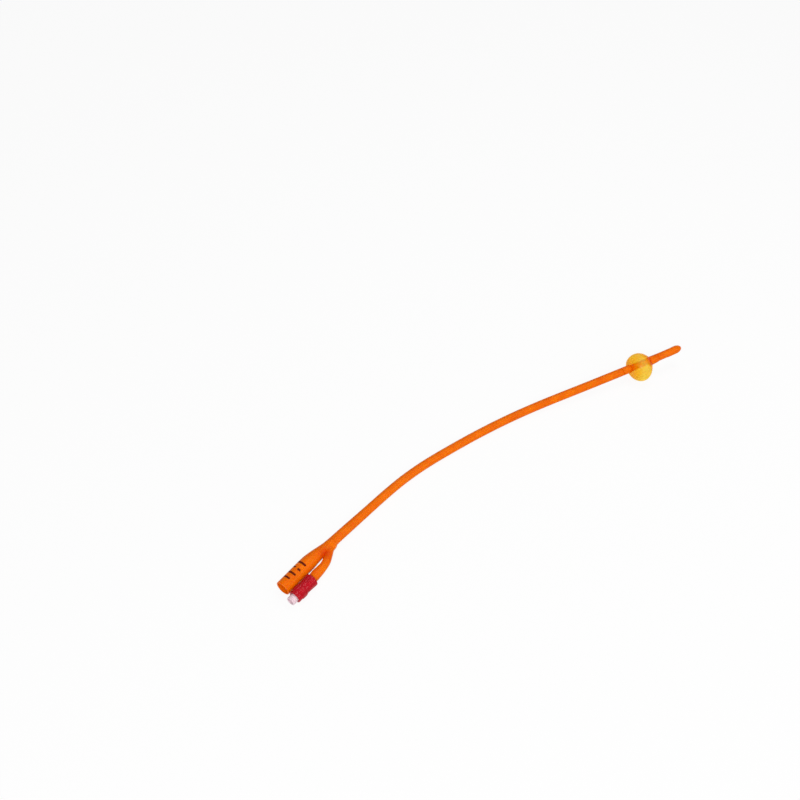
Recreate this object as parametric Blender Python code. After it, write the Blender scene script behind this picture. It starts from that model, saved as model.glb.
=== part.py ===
"""A two-way balloon catheter of latex rubber, with its balloon filled, lying as it comes to rest.

The drainage funnel and the inflation arm join at a hub and go on as one shaft with two channels.
A check valve in a coloured sleeve closes the arm. The frame's X runs along the funnel, from its
mouth towards the shaft, Z is up, and the origin is below the middle of the whole footprint.
Distances along the catheter are counted from the funnel's mouth.
"""
import math

import bmesh
import bpy
import numpy as np

MM = 0.001
GAP = 0.3 * MM  # left between pieces that touch

# Shaft and its two channels
SHAFT_OD = 6.4 * MM
OVERALL_LENGTH = 374.2 * MM  # along the middle line, mouth to tip
DRAIN_BORE = 3.0 * MM
DRAIN_SHIFT = 0.6 * MM  # of the drainage channel, away from the inflation channel
CHANNEL_BORE = 0.7 * MM
CHANNEL_SEPTUM = 0.5 * MM  # rubber between the two channels

# Drainage funnel
FUNNEL_OD = 10.5 * MM
FUNNEL_BORE = 8.3 * MM
FUNNEL_LENGTH = 25.0 * MM  # straight part
TAPER_LENGTH = 16.0 * MM  # from the straight part down to the hub
TAPER_SOFT = 0.08  # roundness of the two corners of that straight cone
BORE_LEAD = 1.0 * MM  # the bore narrows this much before the outside does
RIM_ROUND = 0.3 * MM

# Hub and inflation arm
HUB_OD = 6.85 * MM
HUB_LENGTH = 9.0 * MM
HUB_FADE = 40.0 * MM  # from the hub's diameter to the shaft's
ARM_OD = 6.9 * MM
ARM_ROOT_OD = 5.7 * MM
ARM_SWEEP = 23.0 * MM  # length over which the arm swings out from the hub
ARM_SWEEP_FROM_END = 3.5 * MM  # its beginning, before the hub's end
ARM_BEND = 1.5  # above 1 its bend at the hub is sharper than the one at the valve
ARM_MERGE = 1.4 * MM  # offset of the arm's axis where it meets the hub
ARM_STRETCH = 3.0 * MM  # length in which the arm swells out behind the valve's sleeve
ARM_TAPER = 12.0 * MM  # length in which it narrows again towards its root
ARM_SINK = 0.3  # share by which its last end is narrower, inside the hub
ARM_SINK_FROM_END = 4.0 * MM  # where it begins to narrow, before the hub's end
ARM_SINK_LENGTH = 3.0 * MM
ARM_FADE = 2.0 * MM  # past the hub's end, where the arm's outline is lost in the shaft
LEDGE = 0.4 * MM  # softness of the outline where the arm's root comes out of the hub
CROTCH_GAP = 0.3 * MM  # between funnel and arm where the web ends
CROTCH_ROUND = 1.5 * MM  # length in which the two branches round out
CROTCH_TURN = 7.0 * MM  # length in which the arm's rings turn square to its own axis
WEB = 1.6 * MM  # thickness of the web at the crotch
WEB_ROOT = 4.4 * MM  # thickness of the web where it goes over into the hub
WEB_GROWS = 7.5 * MM
KNUCKLE = 0.5 * MM  # bulge on the outer side of the arm's root
KNUCKLE_LENGTH = 6.0 * MM
KNUCKLE_FROM_END = 1.5 * MM  # its beginning, before the hub's end

# Balloon and tip
BALLOON_OD = 22.6 * MM
BALLOON_FROM_TIP = 39.4 * MM  # balloon's middle to the tip
NEAR_HALF = 8.9 * MM  # from its middle to its blunt end
NEAR_POWER = 0.8  # of the sine in its outline: below 1 it is blunter than an ellipse
FAR_HALF = 11.0 * MM  # from its middle to the end that is drawn out towards the tip
FAR_POWER = 1.6
DIMPLE = 0.5 * MM  # depth to which the blunt end is drawn in around the cuff
DIMPLE_WIDTH = 1.5 * MM
BALLOON_FILM = 0.3 * MM
BALLOON_SAG = 0.9 * MM  # it fills unevenly and hangs below the shaft's axis
BALLOON_LEAN = 1.6 * MM  # and bulges more towards the arm's side
FAR_LEAN = 0.4  # power by which the lean fades towards the far cuff
CUFF_LENGTH = 6.0 * MM  # bonded end of the balloon
FAR_CUFF_ROOT_OD = 7.3 * MM  # the far cuff is a cone that starts at this diameter
SEAT_OD = 5.2 * MM  # of the shaft under the balloon and its cuffs
SEAT_STEP = 0.6 * MM  # length of the step at each end of the seat
PORT_BORE = 0.9 * MM  # from the inflation channel into the balloon
CHANNEL_TAPER = 3.75 * MM  # from the arm's wide bore down to the channel
TIP_NECK_OD = 6.1 * MM
TIP_OD = 6.3 * MM
TIP_ROUND = 5.5 * MM
TIP_SWELL = 15.0 * MM
TIP_SOLID = 6.8 * MM  # rubber between the drainage channel's blind end and the tip
EYE_LENGTH = 5.0 * MM
EYE_WIDTH = 2.2 * MM
EYES_FROM_TIP = (10.0 * MM, 16.5 * MM)
EYE_TURN = math.radians(143)  # of the first eye about the shaft, from the arm's side

# Valve sleeve, along the valve's axis from its front face
SLEEVE_LENGTH = 17.0 * MM
SLEEVE_RIM_OD = 9.2 * MM
SLEEVE_COLLAR_OD = 9.6 * MM
SLEEVE_WAIST_OD = 8.4 * MM
SLEEVE_NOSE_OD = 8.5 * MM
COLLAR_START = 3.0 * MM
COLLAR_LENGTH = 4.6 * MM
WAIST_LENGTH = 2.4 * MM
SLEEVE_EASE = 0.8 * MM  # length of the soft steps beside collar and waist
SLEEVE_DRAFT = 0.05 * MM
FLUTES = 12
FLUTE_DEPTH = 0.35 * MM

# Check valve
LUER_OD = 6.1 * MM
LUER_BORE = 4.3 * MM
LUER_TAPER = 0.06  # loss of diameter for each unit of depth
LUER_DEPTH = 7.5 * MM
LUER_PROUD = 3.9 * MM  # stands out of the sleeve
LUER_EDGE = 0.2 * MM  # rounding of the valve's edges
SEAT_BORE = 2.6 * MM
SEAT_LAND = 1.0 * MM
CHAMBER_BORE = 4.7 * MM
SNAP_RIB = 0.4 * MM  # height of the rib that holds the sleeve
SNAP_RIB_LENGTH = 1.2 * MM
STEM_OD = 1.5 * MM
STEM_REACH = 2.4 * MM  # of the stem into the luer, beyond the seat's land
SEAL_OD = 3.9 * MM
SEAL_THICKNESS = 0.6 * MM
HEAD_OD = 3.7 * MM
HEAD_THICKNESS = 0.8 * MM
GUIDE_OD = 1.6 * MM
GUIDE_LENGTH = 2.0 * MM
PLUNGER_TRAVEL = 1.5 * MM
SPRING_WIRE = 0.35 * MM
SPRING_TURNS = 4.5
PLUG_THICKNESS = 1.0 * MM
FLANGE_THICKNESS = 0.7 * MM
SPIGOT_LENGTH = 5.2 * MM
SPIGOT_OD = 3.0 * MM
BARB_HEIGHT = 0.3 * MM
BARBS = 3
BARB_SHARE = 0.8  # of the pitch that a barb's slope takes
TAIL_BORE = 1.2 * MM

# The lie of the catheter: each bend is its middle, its half length and its turn
BENDS = (
    (27.7 * MM, 9.0 * MM, math.radians(-5.3)),
    (44.9 * MM, 9.0 * MM, math.radians(2.7)),
    (124.5 * MM, 38.7 * MM, math.radians(-13.5)),
    (217.0 * MM, 60.0 * MM, math.radians(-12.4)),
    (362.5 * MM, 12.0 * MM, math.radians(3.5)),
)
LANDING = 110.0 * MM  # where the shaft reaches the floor
LIFT_OFF = 190.0 * MM  # where it rises again to the balloon

# Fineness
STEP = 0.25 * MM  # of the middle line
AROUND_MAIN = 10  # columns of points across the funnel's half of the hub
AROUND_ARM = 6
HUB_RINGS = 12
SHAFT_STATION = 9.5 * MM
COLUMNS_EVEN = 8.4 * MM  # length in which the rings' points spread evenly
LUMEN_STATION = 2.0 * MM  # in the arm and the hub
LUMEN_SIDES = 16
CHANNEL_SIDES = 8
ROUND_SIDES = 28
BULB_RINGS = 15
INNER_SIDES = 20

# Worked out from the sizes above
HUB_START = FUNNEL_LENGTH + TAPER_LENGTH
HUB_END = HUB_START + HUB_LENGTH
SLEEVE_OD = max(SLEEVE_RIM_OD, SLEEVE_COLLAR_OD)
VALVE_OFFSET = (FUNNEL_OD + SLEEVE_OD) / 2 + GAP
VALVE_HEIGHT = SLEEVE_OD / 2
BALLOON_MIDDLE = OVERALL_LENGTH - BALLOON_FROM_TIP
SEAT_START = BALLOON_MIDDLE - NEAR_HALF - CUFF_LENGTH - GAP - SEAT_STEP
SEAT_END = BALLOON_MIDDLE + FAR_HALF + CUFF_LENGTH + GAP
CUFF_BORE_RADIUS = SEAT_OD / 2 + GAP
CUFF_RADIUS = CUFF_BORE_RADIUS + BALLOON_FILM
ARM_FULL = SLEEVE_LENGTH + ARM_STRETCH
CHANNEL_SHIFT = DRAIN_BORE / 2 - DRAIN_SHIFT + CHANNEL_SEPTUM + CHANNEL_BORE / 2
LUER_FLOOR = LUER_DEPTH - LUER_PROUD
CHAMBER_START = LUER_FLOOR + SEAT_LAND
SEAL_START = CHAMBER_START + GAP
HEAD_START = SEAL_START + SEAL_THICKNESS + GAP
HEAD_END = HEAD_START + HEAD_THICKNESS
SPRING_LENGTH = GUIDE_LENGTH + PLUNGER_TRAVEL + 2 * GAP  # with the plunger shut
PLUG_START = HEAD_END + GAP + SPRING_LENGTH + GAP
FLANGE_START = PLUG_START + PLUG_THICKNESS
BODY_END = FLANGE_START - GAP
ARM_END = FLANGE_START + FLANGE_THICKNESS + GAP
SPIGOT_END = ARM_END + SPIGOT_LENGTH
SLEEVE_BORE = LUER_OD + 2 * GAP
ARM_BORE = SPIGOT_OD + 2 * (BARB_HEIGHT + GAP)
SNAP_START = COLLAR_START + (COLLAR_LENGTH - SNAP_RIB_LENGTH) / 2


def ease(t):
    """Smooth step from 0 to 1."""
    t = np.clip(t, 0.0, 1.0)
    return t * t * (3 - 2 * t)


def ramp(t, soft):
    """Straight slope from 0 to 1, its two corners rounded by hyperbolas."""
    return (1 + math.hypot(t, soft) - math.hypot(1 - t, soft)) / 2


def lift(t):
    """Curve of a held strip whose end is raised: (3 t^2 - t^3) / 2, then straight on."""
    t = np.maximum(t, 0.0)
    return np.where(t < 1, t * t * (1.5 - 0.5 * t), 1 + 1.5 * (t - 1))


def middle_line():
    """Distances and points of the catheter's middle line, from its plan headings and its heights."""
    s = np.arange(0.0, OVERALL_LENGTH + STEP, STEP)
    heading = sum(turn * ease((s - middle + half) / (2 * half)) for middle, half, turn in BENDS)
    mean = (heading[1:] + heading[:-1]) / 2
    x = np.r_[0.0, np.cumsum(STEP * np.cos(mean))]
    y = np.r_[0.0, np.cumsum(STEP * np.sin(mean))]
    floor = SHAFT_OD / 2
    raised = BALLOON_OD / 2 + BALLOON_SAG
    down = 1 - ease((s - FUNNEL_LENGTH) / (LANDING - FUNNEL_LENGTH))
    up = lift((s - LIFT_OFF) / (BALLOON_MIDDLE - LIFT_OFF))
    z = floor + (FUNNEL_OD / 2 - floor) * down + (raised - floor) * up
    return s, np.stack([x, y, z], axis=1)


LINE_S, LINE = middle_line()


def unit(vectors):
    return vectors / np.linalg.norm(vectors, axis=-1, keepdims=True)


def on_line(s):
    """Point of the middle line, with the directions along it, towards the arm's side and up."""
    def point(q):
        return np.array([np.interp(q, LINE_S, LINE[:, k]) for k in range(3)])

    ahead = unit(point(min(s + STEP, OVERALL_LENGTH)) - point(max(s - STEP, 0.0)))
    side = unit(np.cross(ahead, (0.0, 0.0, 1.0)))
    return point(s), ahead, side, np.cross(side, ahead)


def beside_line(s, across, above=0.0):
    """Point beside the middle line: so far towards the arm's side, and so far up."""
    point, _, side, up = on_line(s)
    return point + across * side + above * up


def main_radius(s):
    """Outer radius of funnel, hub, shaft, balloon seat and tip, by distance from the mouth."""
    r = FUNNEL_OD / 2
    r += (HUB_OD - FUNNEL_OD) / 2 * ramp((s - FUNNEL_LENGTH) / TAPER_LENGTH, TAPER_SOFT)
    r += (SHAFT_OD - HUB_OD) / 2 * ease((s - HUB_END) / HUB_FADE)
    r += (SEAT_OD - SHAFT_OD) / 2 * ease((s - SEAT_START) / SEAT_STEP)
    r += (TIP_NECK_OD - SEAT_OD) / 2 * ease((s - SEAT_END) / SEAT_STEP)
    r += (TIP_OD - TIP_NECK_OD) / 2 * ease((s - OVERALL_LENGTH + TIP_SWELL + TIP_ROUND) / TIP_SWELL)
    left = OVERALL_LENGTH - s
    if left < TIP_ROUND:
        r *= math.sqrt(max(1 - (1 - left / TIP_ROUND) ** 2, 0.0))
    return r


def arm_offset(s):
    """How far the arm's axis lies to the side of the middle line, and above it."""
    swung = np.clip((HUB_END - ARM_SWEEP_FROM_END - s) / ARM_SWEEP, 0.0, 1.0)
    apart = ease(1 - (1 - swung) ** ARM_BEND)
    across = ARM_MERGE + (VALVE_OFFSET - ARM_MERGE) * apart
    point, _, side, _ = on_line(s)
    straight = (VALVE_OFFSET + point[1]) / -side[1]
    across += (straight - VALVE_OFFSET) * apart
    return across, (VALVE_HEIGHT - point[2]) * apart


def arm_radius(s):
    """Outer radius of the arm: held in the valve's sleeve, full behind it, slimmer at its root."""
    r = LUER_OD / 2
    r += (ARM_OD - LUER_OD) / 2 * ease((s - SLEEVE_LENGTH) / ARM_STRETCH)
    r += (ARM_ROOT_OD - ARM_OD) / 2 * ease((s - ARM_FULL) / ARM_TAPER)
    along = (HUB_END - s - KNUCKLE_FROM_END) / KNUCKLE_LENGTH
    if 0 < along < 1:
        r += KNUCKLE * math.sin(math.pi * along) ** 2
    return r * (1 - ARM_SINK * ease((s - HUB_END + ARM_SINK_FROM_END) / ARM_SINK_LENGTH))


def arm_ahead(s):
    """Direction of the arm's own axis, towards the hub."""
    return unit(beside_line(s + STEP, *arm_offset(s + STEP)) - beside_line(s, *arm_offset(s)))


def arm_frame(s, turned_by):
    """Directions across an arm's ring that has turned by a share from the hub's plane to its own.

    The third value is how much wider than a circle the slanting cut through the round arm is.
    """
    own = arm_ahead(s)
    ahead = unit(on_line(s)[1] * (1 - turned_by) + own * turned_by)
    side = unit(np.cross(ahead, (0.0, 0.0, 1.0)))
    return side, np.cross(side, ahead), 1 / float(ahead @ own)


def spread(low, high, count):
    """Columns from low to high, closer together at both ends, as on a circle."""
    return low + (high - low) * (1 - np.cos(np.linspace(0, math.pi, count + 1))) / 2


def hub_section(s):
    """Outline across the hub: two circles, the web between them and a soft joint where they meet.

    Each half chord goes into a fourth-power mean, which rounds the valley between the circles. What
    the arm stands proud of the hub goes through a hyperbola, so that its root comes out softly.
    Points run from the funnel's far side over the top to the arm's far side and back below.
    """
    main, arm = main_radius(s), arm_radius(s)
    across, above = arm_offset(s)
    wide = arm * arm_frame(s, 0.0)[2]
    waist = (main + across - wide) / 2
    fades = 1 - ease((s - HUB_END) / ARM_FADE)
    proud = across + wide - main
    soft_proud = (proud + math.hypot(proud, LEDGE)) / 2
    far = main + fades * soft_proud
    across += (far - main - proud) / 2
    wide += (far - main - proud) / 2
    columns = AROUND_MAIN + AROUND_ARM
    u = np.r_[spread(-main, waist, AROUND_MAIN), spread(waist, far, AROUND_ARM)[1:]]
    plain = -main * np.cos(np.linspace(0, math.pi, columns + 1))
    u += (plain - u) * ease((s - HUB_END - MM) / COLUMNS_EVEN)
    chord_main = np.sqrt(np.maximum(main**2 - u**2, 0.0))
    chord_arm = arm * np.sqrt(np.maximum(1 - ((u - across) / wide) ** 2, 0.0))
    web = WEB / 2 + (WEB_ROOT - WEB) / 2 * ease((s - crotch()) / WEB_GROWS)
    web = web * np.sqrt(np.sin(math.pi * np.clip(u / across, 0.0, 1.0)))
    half = (chord_main**4 + fades * (chord_arm**4 + web**4)) ** 0.25
    middle = above * fades * np.clip(u / across, 0.0, 1.0)
    over = np.stack([u, middle + half], axis=1)
    under = np.stack([u, middle - half], axis=1)[-2:0:-1]
    return np.concatenate([over, under])


def crotch():
    """Distance at which funnel and arm have parted by the crotch's gap."""
    for s in np.arange(HUB_END, FUNNEL_LENGTH, -STEP):
        if arm_offset(s)[0] - arm_radius(s) * arm_frame(s, 0.0)[2] - main_radius(s) > CROTCH_GAP:
            return float(s)
    return FUNNEL_LENGTH


def placed(section, centre, side, up):
    """Flat outline points set into space."""
    return centre + section[:, :1] * side + section[:, 1:] * up


def on_circle(radius, turn):
    """Outline points at the given angles, counted from the far side over the top to the arm's side."""
    return radius * np.stack([-np.cos(turn), np.sin(turn)], axis=1)


def circle(radius, count):
    return on_circle(radius, 2 * math.pi * np.arange(count) / count)


def add_ring(bm, points):
    return [bm.verts.new(p) for p in points]


def bridge(bm, rings):
    """Quads between neighbouring rings of equally many points."""
    for near, far in zip(rings, rings[1:]):
        for i in range(len(near)):
            j = (i + 1) % len(near)
            bm.faces.new((near[i], near[j], far[j], far[i]))


def close_round(bm, ring, point):
    """A fan from a ring to a pole."""
    pole = bm.verts.new(point)
    for i in range(len(ring)):
        bm.faces.new((ring[i], ring[(i + 1) % len(ring)], pole))


def finish_object(name, bm, material=None, parent=None, flat_above=40):
    """Make the mesh an object, with its faces outward and its round sides smooth."""
    bmesh.ops.recalc_face_normals(bm, faces=bm.faces)
    mesh = bpy.data.meshes.new(name)
    bm.to_mesh(mesh)
    bm.free()
    mesh.shade_smooth()
    mesh.set_sharp_from_angle(angle=math.radians(flat_above))
    piece = bpy.data.objects.new(name, mesh)
    bpy.context.scene.collection.objects.link(piece)
    piece.parent = parent
    if material:
        mesh.materials.append(material)
    return piece


def swept(name, path, radii, sides, **options):
    """A round solid along a path, flat at both ends."""
    path = np.asarray(path)
    ahead = unit(np.gradient(path, axis=0))
    bm = bmesh.new()
    rings = []
    for centre, along, radius in zip(path, ahead, radii):
        side = unit(np.cross(along, (0.0, 0.0, 1.0)))
        outline = placed(circle(radius, sides), centre, side, np.cross(side, along))
        rings.append(add_ring(bm, outline))
    bridge(bm, rings)
    bm.faces.new(rings[0])
    bm.faces.new(rings[-1])
    return finish_object(name, bm, **options)


def turned(name, profile, sides, shape=None, **options):
    """A solid turned about the X axis from (x, radius) points, closed on itself or at two poles."""
    bm = bmesh.new()
    turn = 2 * math.pi * np.arange(sides) / sides
    rings, poles = [], []
    for x, radius in profile:
        if radius == 0:
            poles.append((x, 0.0, 0.0))
            continue
        r = shape(x, radius, turn) if shape else np.full(sides, radius)
        outline = np.stack([np.full(sides, x), r * np.cos(turn), r * np.sin(turn)], axis=1)
        rings.append(add_ring(bm, outline))
    if poles:
        close_round(bm, rings[0], poles[0])
        close_round(bm, rings[-1], poles[1])
    else:
        rings.append(rings[0])
    bridge(bm, rings)
    return finish_object(name, bm, **options)


def plain_material(name, colour, roughness, metallic=0.0, alpha=1.0):
    material = bpy.data.materials.new(name)
    material.use_nodes = True
    shader = material.node_tree.nodes["Principled BSDF"]
    shader.inputs["Base Color"].default_value = (*colour, 1.0)
    shader.inputs["Roughness"].default_value = roughness
    shader.inputs["Metallic"].default_value = metallic
    shader.inputs["Alpha"].default_value = alpha
    material.diffuse_color = (*colour, alpha)
    return material


def cut(piece, cutter):
    """Take the cutter's shape out of the piece, and keep the cutter as a hidden guide."""
    cutter.hide_render = True
    cutter.display_type = "WIRE"
    step = piece.modifiers.new(cutter.name, "BOOLEAN")
    step.operation = "DIFFERENCE"
    step.solver = "EXACT"
    step.object = cutter


def shaft_stations():
    """Distances of the rings from the tip's round end back to the hub."""
    tip = OVERALL_LENGTH - TIP_ROUND * (1 - np.cos(np.linspace(0.25, 1.0, 6) * math.pi / 2))
    tip_side = OVERALL_LENGTH - TIP_ROUND - np.linspace(0.2, 1.0, 4) * TIP_SWELL
    step = SEAT_STEP * np.linspace(1, 0, 4)
    seat = np.linspace(SEAT_END, SEAT_START + SEAT_STEP, 5)[1:-1]
    count = math.ceil((SEAT_START - HUB_END - HUB_FADE) / SHAFT_STATION)
    shaft = np.linspace(SEAT_START, HUB_END + HUB_FADE, count + 1)[1:]
    fade = HUB_END + HUB_FADE * np.linspace(0.8, 0.4, 3)
    evening = HUB_END + MM + COLUMNS_EVEN * np.linspace(1, 0.25, 4)
    return np.concatenate([tip, tip_side, SEAT_END + step, seat, SEAT_START + step, shaft, fade, evening])


def branch_stations(end):
    """Distances of a branch's rings, close together where it rounds out from the crotch."""
    round_off = end - CROTCH_ROUND * np.array([0.04, 0.15, 0.35, 0.65, 1.0])
    return np.r_[round_off, np.linspace(round_off[-1], FUNNEL_LENGTH, 7)[1:]]


def branch_outlines(cut_ring, centre, radius_at, stations):
    """Outlines of a branch about its own axis, from the hub's cut ring to plain circles.

    The cut ring is a circle with a beak, its web. Past the crotch the beak draws in along a quarter
    arc, and the points, which start as the hub's columns, spread evenly around the circle.
    """
    end = stations[0]
    from_axis = cut_ring - centre
    turn = np.unwrap(np.arctan2(from_axis[:, 1], -from_axis[:, 0]))
    even = turn[0] + 2 * math.pi * np.arange(len(turn)) / len(turn)
    beak = from_axis - on_circle(radius_at(end), turn)
    for s in stations[1:]:
        spread_turn = turn + (even - turn) * ease((end - s) / COLUMNS_EVEN)
        left = 1 - min((end - s) / CROTCH_ROUND, 1.0)
        yield s, on_circle(radius_at(s), spread_turn) + beak * (1 - math.sqrt(1 - left**2))


def channel_offset(s):
    """Where the inflation channel runs: on the arm's axis, then in the shaft's wall."""
    across, above = arm_offset(s)
    return max(across, CHANNEL_SHIFT), above


def channel_radius(s):
    wide = ease((SPIGOT_END + GAP + CHANNEL_TAPER - s) / CHANNEL_TAPER)
    return (CHANNEL_BORE + (ARM_BORE - CHANNEL_BORE) * wide) / 2


def drain_offset(s):
    return -DRAIN_SHIFT * ease((s - FUNNEL_LENGTH) / TAPER_LENGTH)


def drain_radius(s):
    narrowed = ease((s - FUNNEL_LENGTH + BORE_LEAD) / TAPER_LENGTH)
    return (FUNNEL_BORE + (DRAIN_BORE - FUNNEL_BORE) * narrowed) / 2


def hub_stations(end):
    """Distances of the hub's rings, from its fading end to the crotch."""
    fading = HUB_END + ARM_FADE * np.array([0.8, 0.45, 0.15, -0.2])
    return np.r_[fading, np.linspace(fading[-1] - MM, end, HUB_RINGS)]


def funnel_branch(bm, ring, cut_ring, end):
    """The funnel from the crotch to its mouth, which stays square to the middle line."""
    stations = np.r_[end, branch_stations(end), FUNNEL_LENGTH / 2, RIM_ROUND, 0.0]
    rings = [ring]
    for s, outline in branch_outlines(cut_ring, np.zeros(2), main_radius, stations):
        point, _, side, up = on_line(s)
        outline = outline * (1 - RIM_ROUND / main_radius(s)) if s == 0 else outline
        rings.append(add_ring(bm, placed(outline, point, side, up)))
    bridge(bm, rings)
    bm.faces.new(rings[-1])


def arm_branch(bm, ring, cut_ring, end):
    """The arm from the crotch to the valve, whose rings turn square to its own axis on the way."""
    seated = SLEEVE_LENGTH + ARM_STRETCH * np.array([1.8, 1.0, 0.5, 0.0])
    stations = np.r_[end, branch_stations(end), seated, ARM_END]
    centre = np.array(arm_offset(end))
    slant = arm_frame(end, 0.0)[2]
    rings = [ring]
    for s, outline in branch_outlines(cut_ring / (slant, 1.0), centre / (slant, 1.0), arm_radius, stations):
        side, up, slant = arm_frame(s, ease((end - s) / CROTCH_TURN))
        outline = outline * (slant, 1.0)
        rings.append(add_ring(bm, placed(outline, beside_line(s, *arm_offset(s)), side, up)))
    bridge(bm, rings)
    bm.faces.new(rings[-1])


def catheter_body(rubber, parent):
    """The one latex moulding: shaft, hub, funnel and arm as a loft that parts into two branches.

    The rings of the hub run to the crotch. There the ring is cut at its waist by one more point,
    and each half goes on by itself and rounds out to a circle.
    """
    bm = bmesh.new()
    columns = AROUND_MAIN + AROUND_ARM
    end = crotch()
    rings = []
    for s in np.concatenate([shaft_stations(), hub_stations(end)]):
        point, _, side, up = on_line(s)
        section = hub_section(s) if s < HUB_END + HUB_FADE else circle(main_radius(s), 2 * columns)
        rings.append(add_ring(bm, placed(section, point, side, up)))
    bridge(bm, rings)
    close_round(bm, rings[0], LINE[-1])

    last = hub_section(end)
    over, under = AROUND_MAIN, 2 * columns - AROUND_MAIN
    saddle = (last[over] + last[under]) / 2
    middle = bm.verts.new(beside_line(end, *saddle))
    ring = rings[-1]
    funnel_ring = ring[: over + 1] + [middle] + ring[under:]
    funnel_branch(bm, funnel_ring, np.concatenate([last[: over + 1], [saddle], last[under:]]), end)
    arm_ring = ring[over : under + 1] + [middle]
    arm_branch(bm, arm_ring, np.concatenate([last[over : under + 1], [saddle]]), end)
    body = finish_object("catheter_body", bm, material=rubber, parent=parent)

    cut(body, drain_cutter(parent))
    cut(body, channel_cutter(parent))
    cut(body, port_cutter(parent))
    for number, from_tip in enumerate(EYES_FROM_TIP):
        cut(body, eye_cutter(number, from_tip, parent))
    return body


def lumen_stations(first, last):
    """Distances of a channel's rings: close together at the hub, the shaft's own stations beyond."""
    near = np.arange(max(first, SPIGOT_END), HUB_END + COLUMNS_EVEN, LUMEN_STATION)
    far = np.sort(shaft_stations())
    far = far[(far > near[-1] + MM) & (far < last - MM)]
    return np.r_[near, far, last]


def drain_cutter(parent):
    """The drainage channel, from outside the funnel's mouth to its blind end beyond the last eye."""
    stations = lumen_stations(FUNNEL_LENGTH - BORE_LEAD, OVERALL_LENGTH - TIP_SOLID)
    path = [beside_line(s, drain_offset(s)) for s in stations]
    radii = [drain_radius(s) for s in stations]
    before = [LINE[0] - (MM, 0.0, 0.0)]
    return swept("drain_cutter", before + path, [FUNNEL_BORE / 2] + radii, LUMEN_SIDES, parent=parent)


def channel_cutter(parent):
    """The inflation channel, from the arm's end to just past the balloon's port."""
    beyond = lumen_stations(SPIGOT_END + GAP, BALLOON_MIDDLE + PORT_BORE)
    stations = np.r_[ARM_END, SPIGOT_END, beyond]
    path = [beside_line(s, *channel_offset(s)) for s in stations]
    radii = [channel_radius(s) for s in stations]
    before = [path[0] - (MM, 0.0, 0.0)]
    return swept("channel_cutter", before + path, radii[:1] + radii, CHANNEL_SIDES, parent=parent)


def port_cutter(parent):
    """The small hole that lets the filling into the balloon."""
    path = [beside_line(BALLOON_MIDDLE, u) for u in (CHANNEL_SHIFT, SEAT_OD / 2 + GAP)]
    return swept("port_cutter", path, [PORT_BORE / 2] * 2, CHANNEL_SIDES, parent=parent)


def eye_cutter(number, from_tip, parent):
    """An oval drainage eye, cut through one wall, the eyes facing opposite ways."""
    centre, ahead, side, up = on_line(OVERALL_LENGTH - from_tip)
    turn = EYE_TURN + number * math.pi
    outward = math.cos(turn) * side + math.sin(turn) * up
    across = np.cross(ahead, outward)
    straight = (EYE_LENGTH - EYE_WIDTH) / 2
    arc = np.linspace(-math.pi / 2, math.pi / 2, 7)
    half = np.stack([straight + EYE_WIDTH / 2 * np.cos(arc), EYE_WIDTH / 2 * np.sin(arc)], axis=1)
    outline = np.concatenate([half, -half])
    bm = bmesh.new()
    root = centre + drain_offset(OVERALL_LENGTH) * side
    rings = []
    for reach in (0.0, TIP_OD):
        rings.append(add_ring(bm, placed(outline, root + reach * outward, ahead, across)))
        bm.faces.new(rings[-1])
    bridge(bm, rings)
    return finish_object(f"eye_cutter_{number + 1}", bm, parent=parent)


def balloon_wall(inside, near_cuff, far_cuff, end_cuff):
    """One side of the film, from end to end, as (distance, radius) points.

    The bulb between the cuffs is a power of the sine over the cosine of an angle: blunt and dimpled
    at the near end, drawn out at the far end. The far cuff is a cone.
    """
    wide = BALLOON_OD / 2 - inside
    first = math.asin((near_cuff / wide) ** (1 / NEAR_POWER))
    last = math.pi - math.asin((far_cuff / wide) ** (1 / FAR_POWER))
    turn = np.linspace(first, last, BULB_RINGS)
    near = turn < math.pi / 2
    radius = wide * np.sin(turn) ** np.where(near, NEAR_POWER, FAR_POWER)
    along = -np.cos(turn) * (np.where(near, NEAR_HALF, FAR_HALF) - inside)
    along += near * DIMPLE * np.exp(-(((radius - near_cuff) / DIMPLE_WIDTH) ** 2))
    start, end = (-NEAR_HALF - CUFF_LENGTH, near_cuff), (FAR_HALF + CUFF_LENGTH, end_cuff)
    return np.concatenate([[start], np.stack([along, radius], axis=1), [end]])


def balloon(film, parent):
    """The filled balloon: an uneven ball of film with a cuff at each end, open around the shaft.

    Its wall is one loop, out along the outer side and back inside. Each ring hangs lower and lies
    further to the arm's side as the balloon is fuller there.
    """
    outer = balloon_wall(0.0, CUFF_RADIUS, FAR_CUFF_ROOT_OD / 2, CUFF_RADIUS)
    inner = balloon_wall(BALLOON_FILM, CUFF_BORE_RADIUS, CUFF_BORE_RADIUS, CUFF_BORE_RADIUS)
    bm = bmesh.new()
    rings = []
    for along, radius in np.concatenate([outer, inner[::-1]]):
        point, _, side, up = on_line(BALLOON_MIDDLE + along)
        filled = np.clip((radius - CUFF_RADIUS) / (BALLOON_OD / 2 - CUFF_RADIUS), 0.0, 1.0)
        aside = BALLOON_LEAN * (filled**FAR_LEAN if along > 0 else filled)
        hung = point + aside * side - BALLOON_SAG * filled * up
        rings.append(add_ring(bm, placed(circle(radius, ROUND_SIDES), hung, side, up)))
    bridge(bm, rings + rings[:1])
    return finish_object("balloon", bm, material=film, parent=parent)


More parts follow.
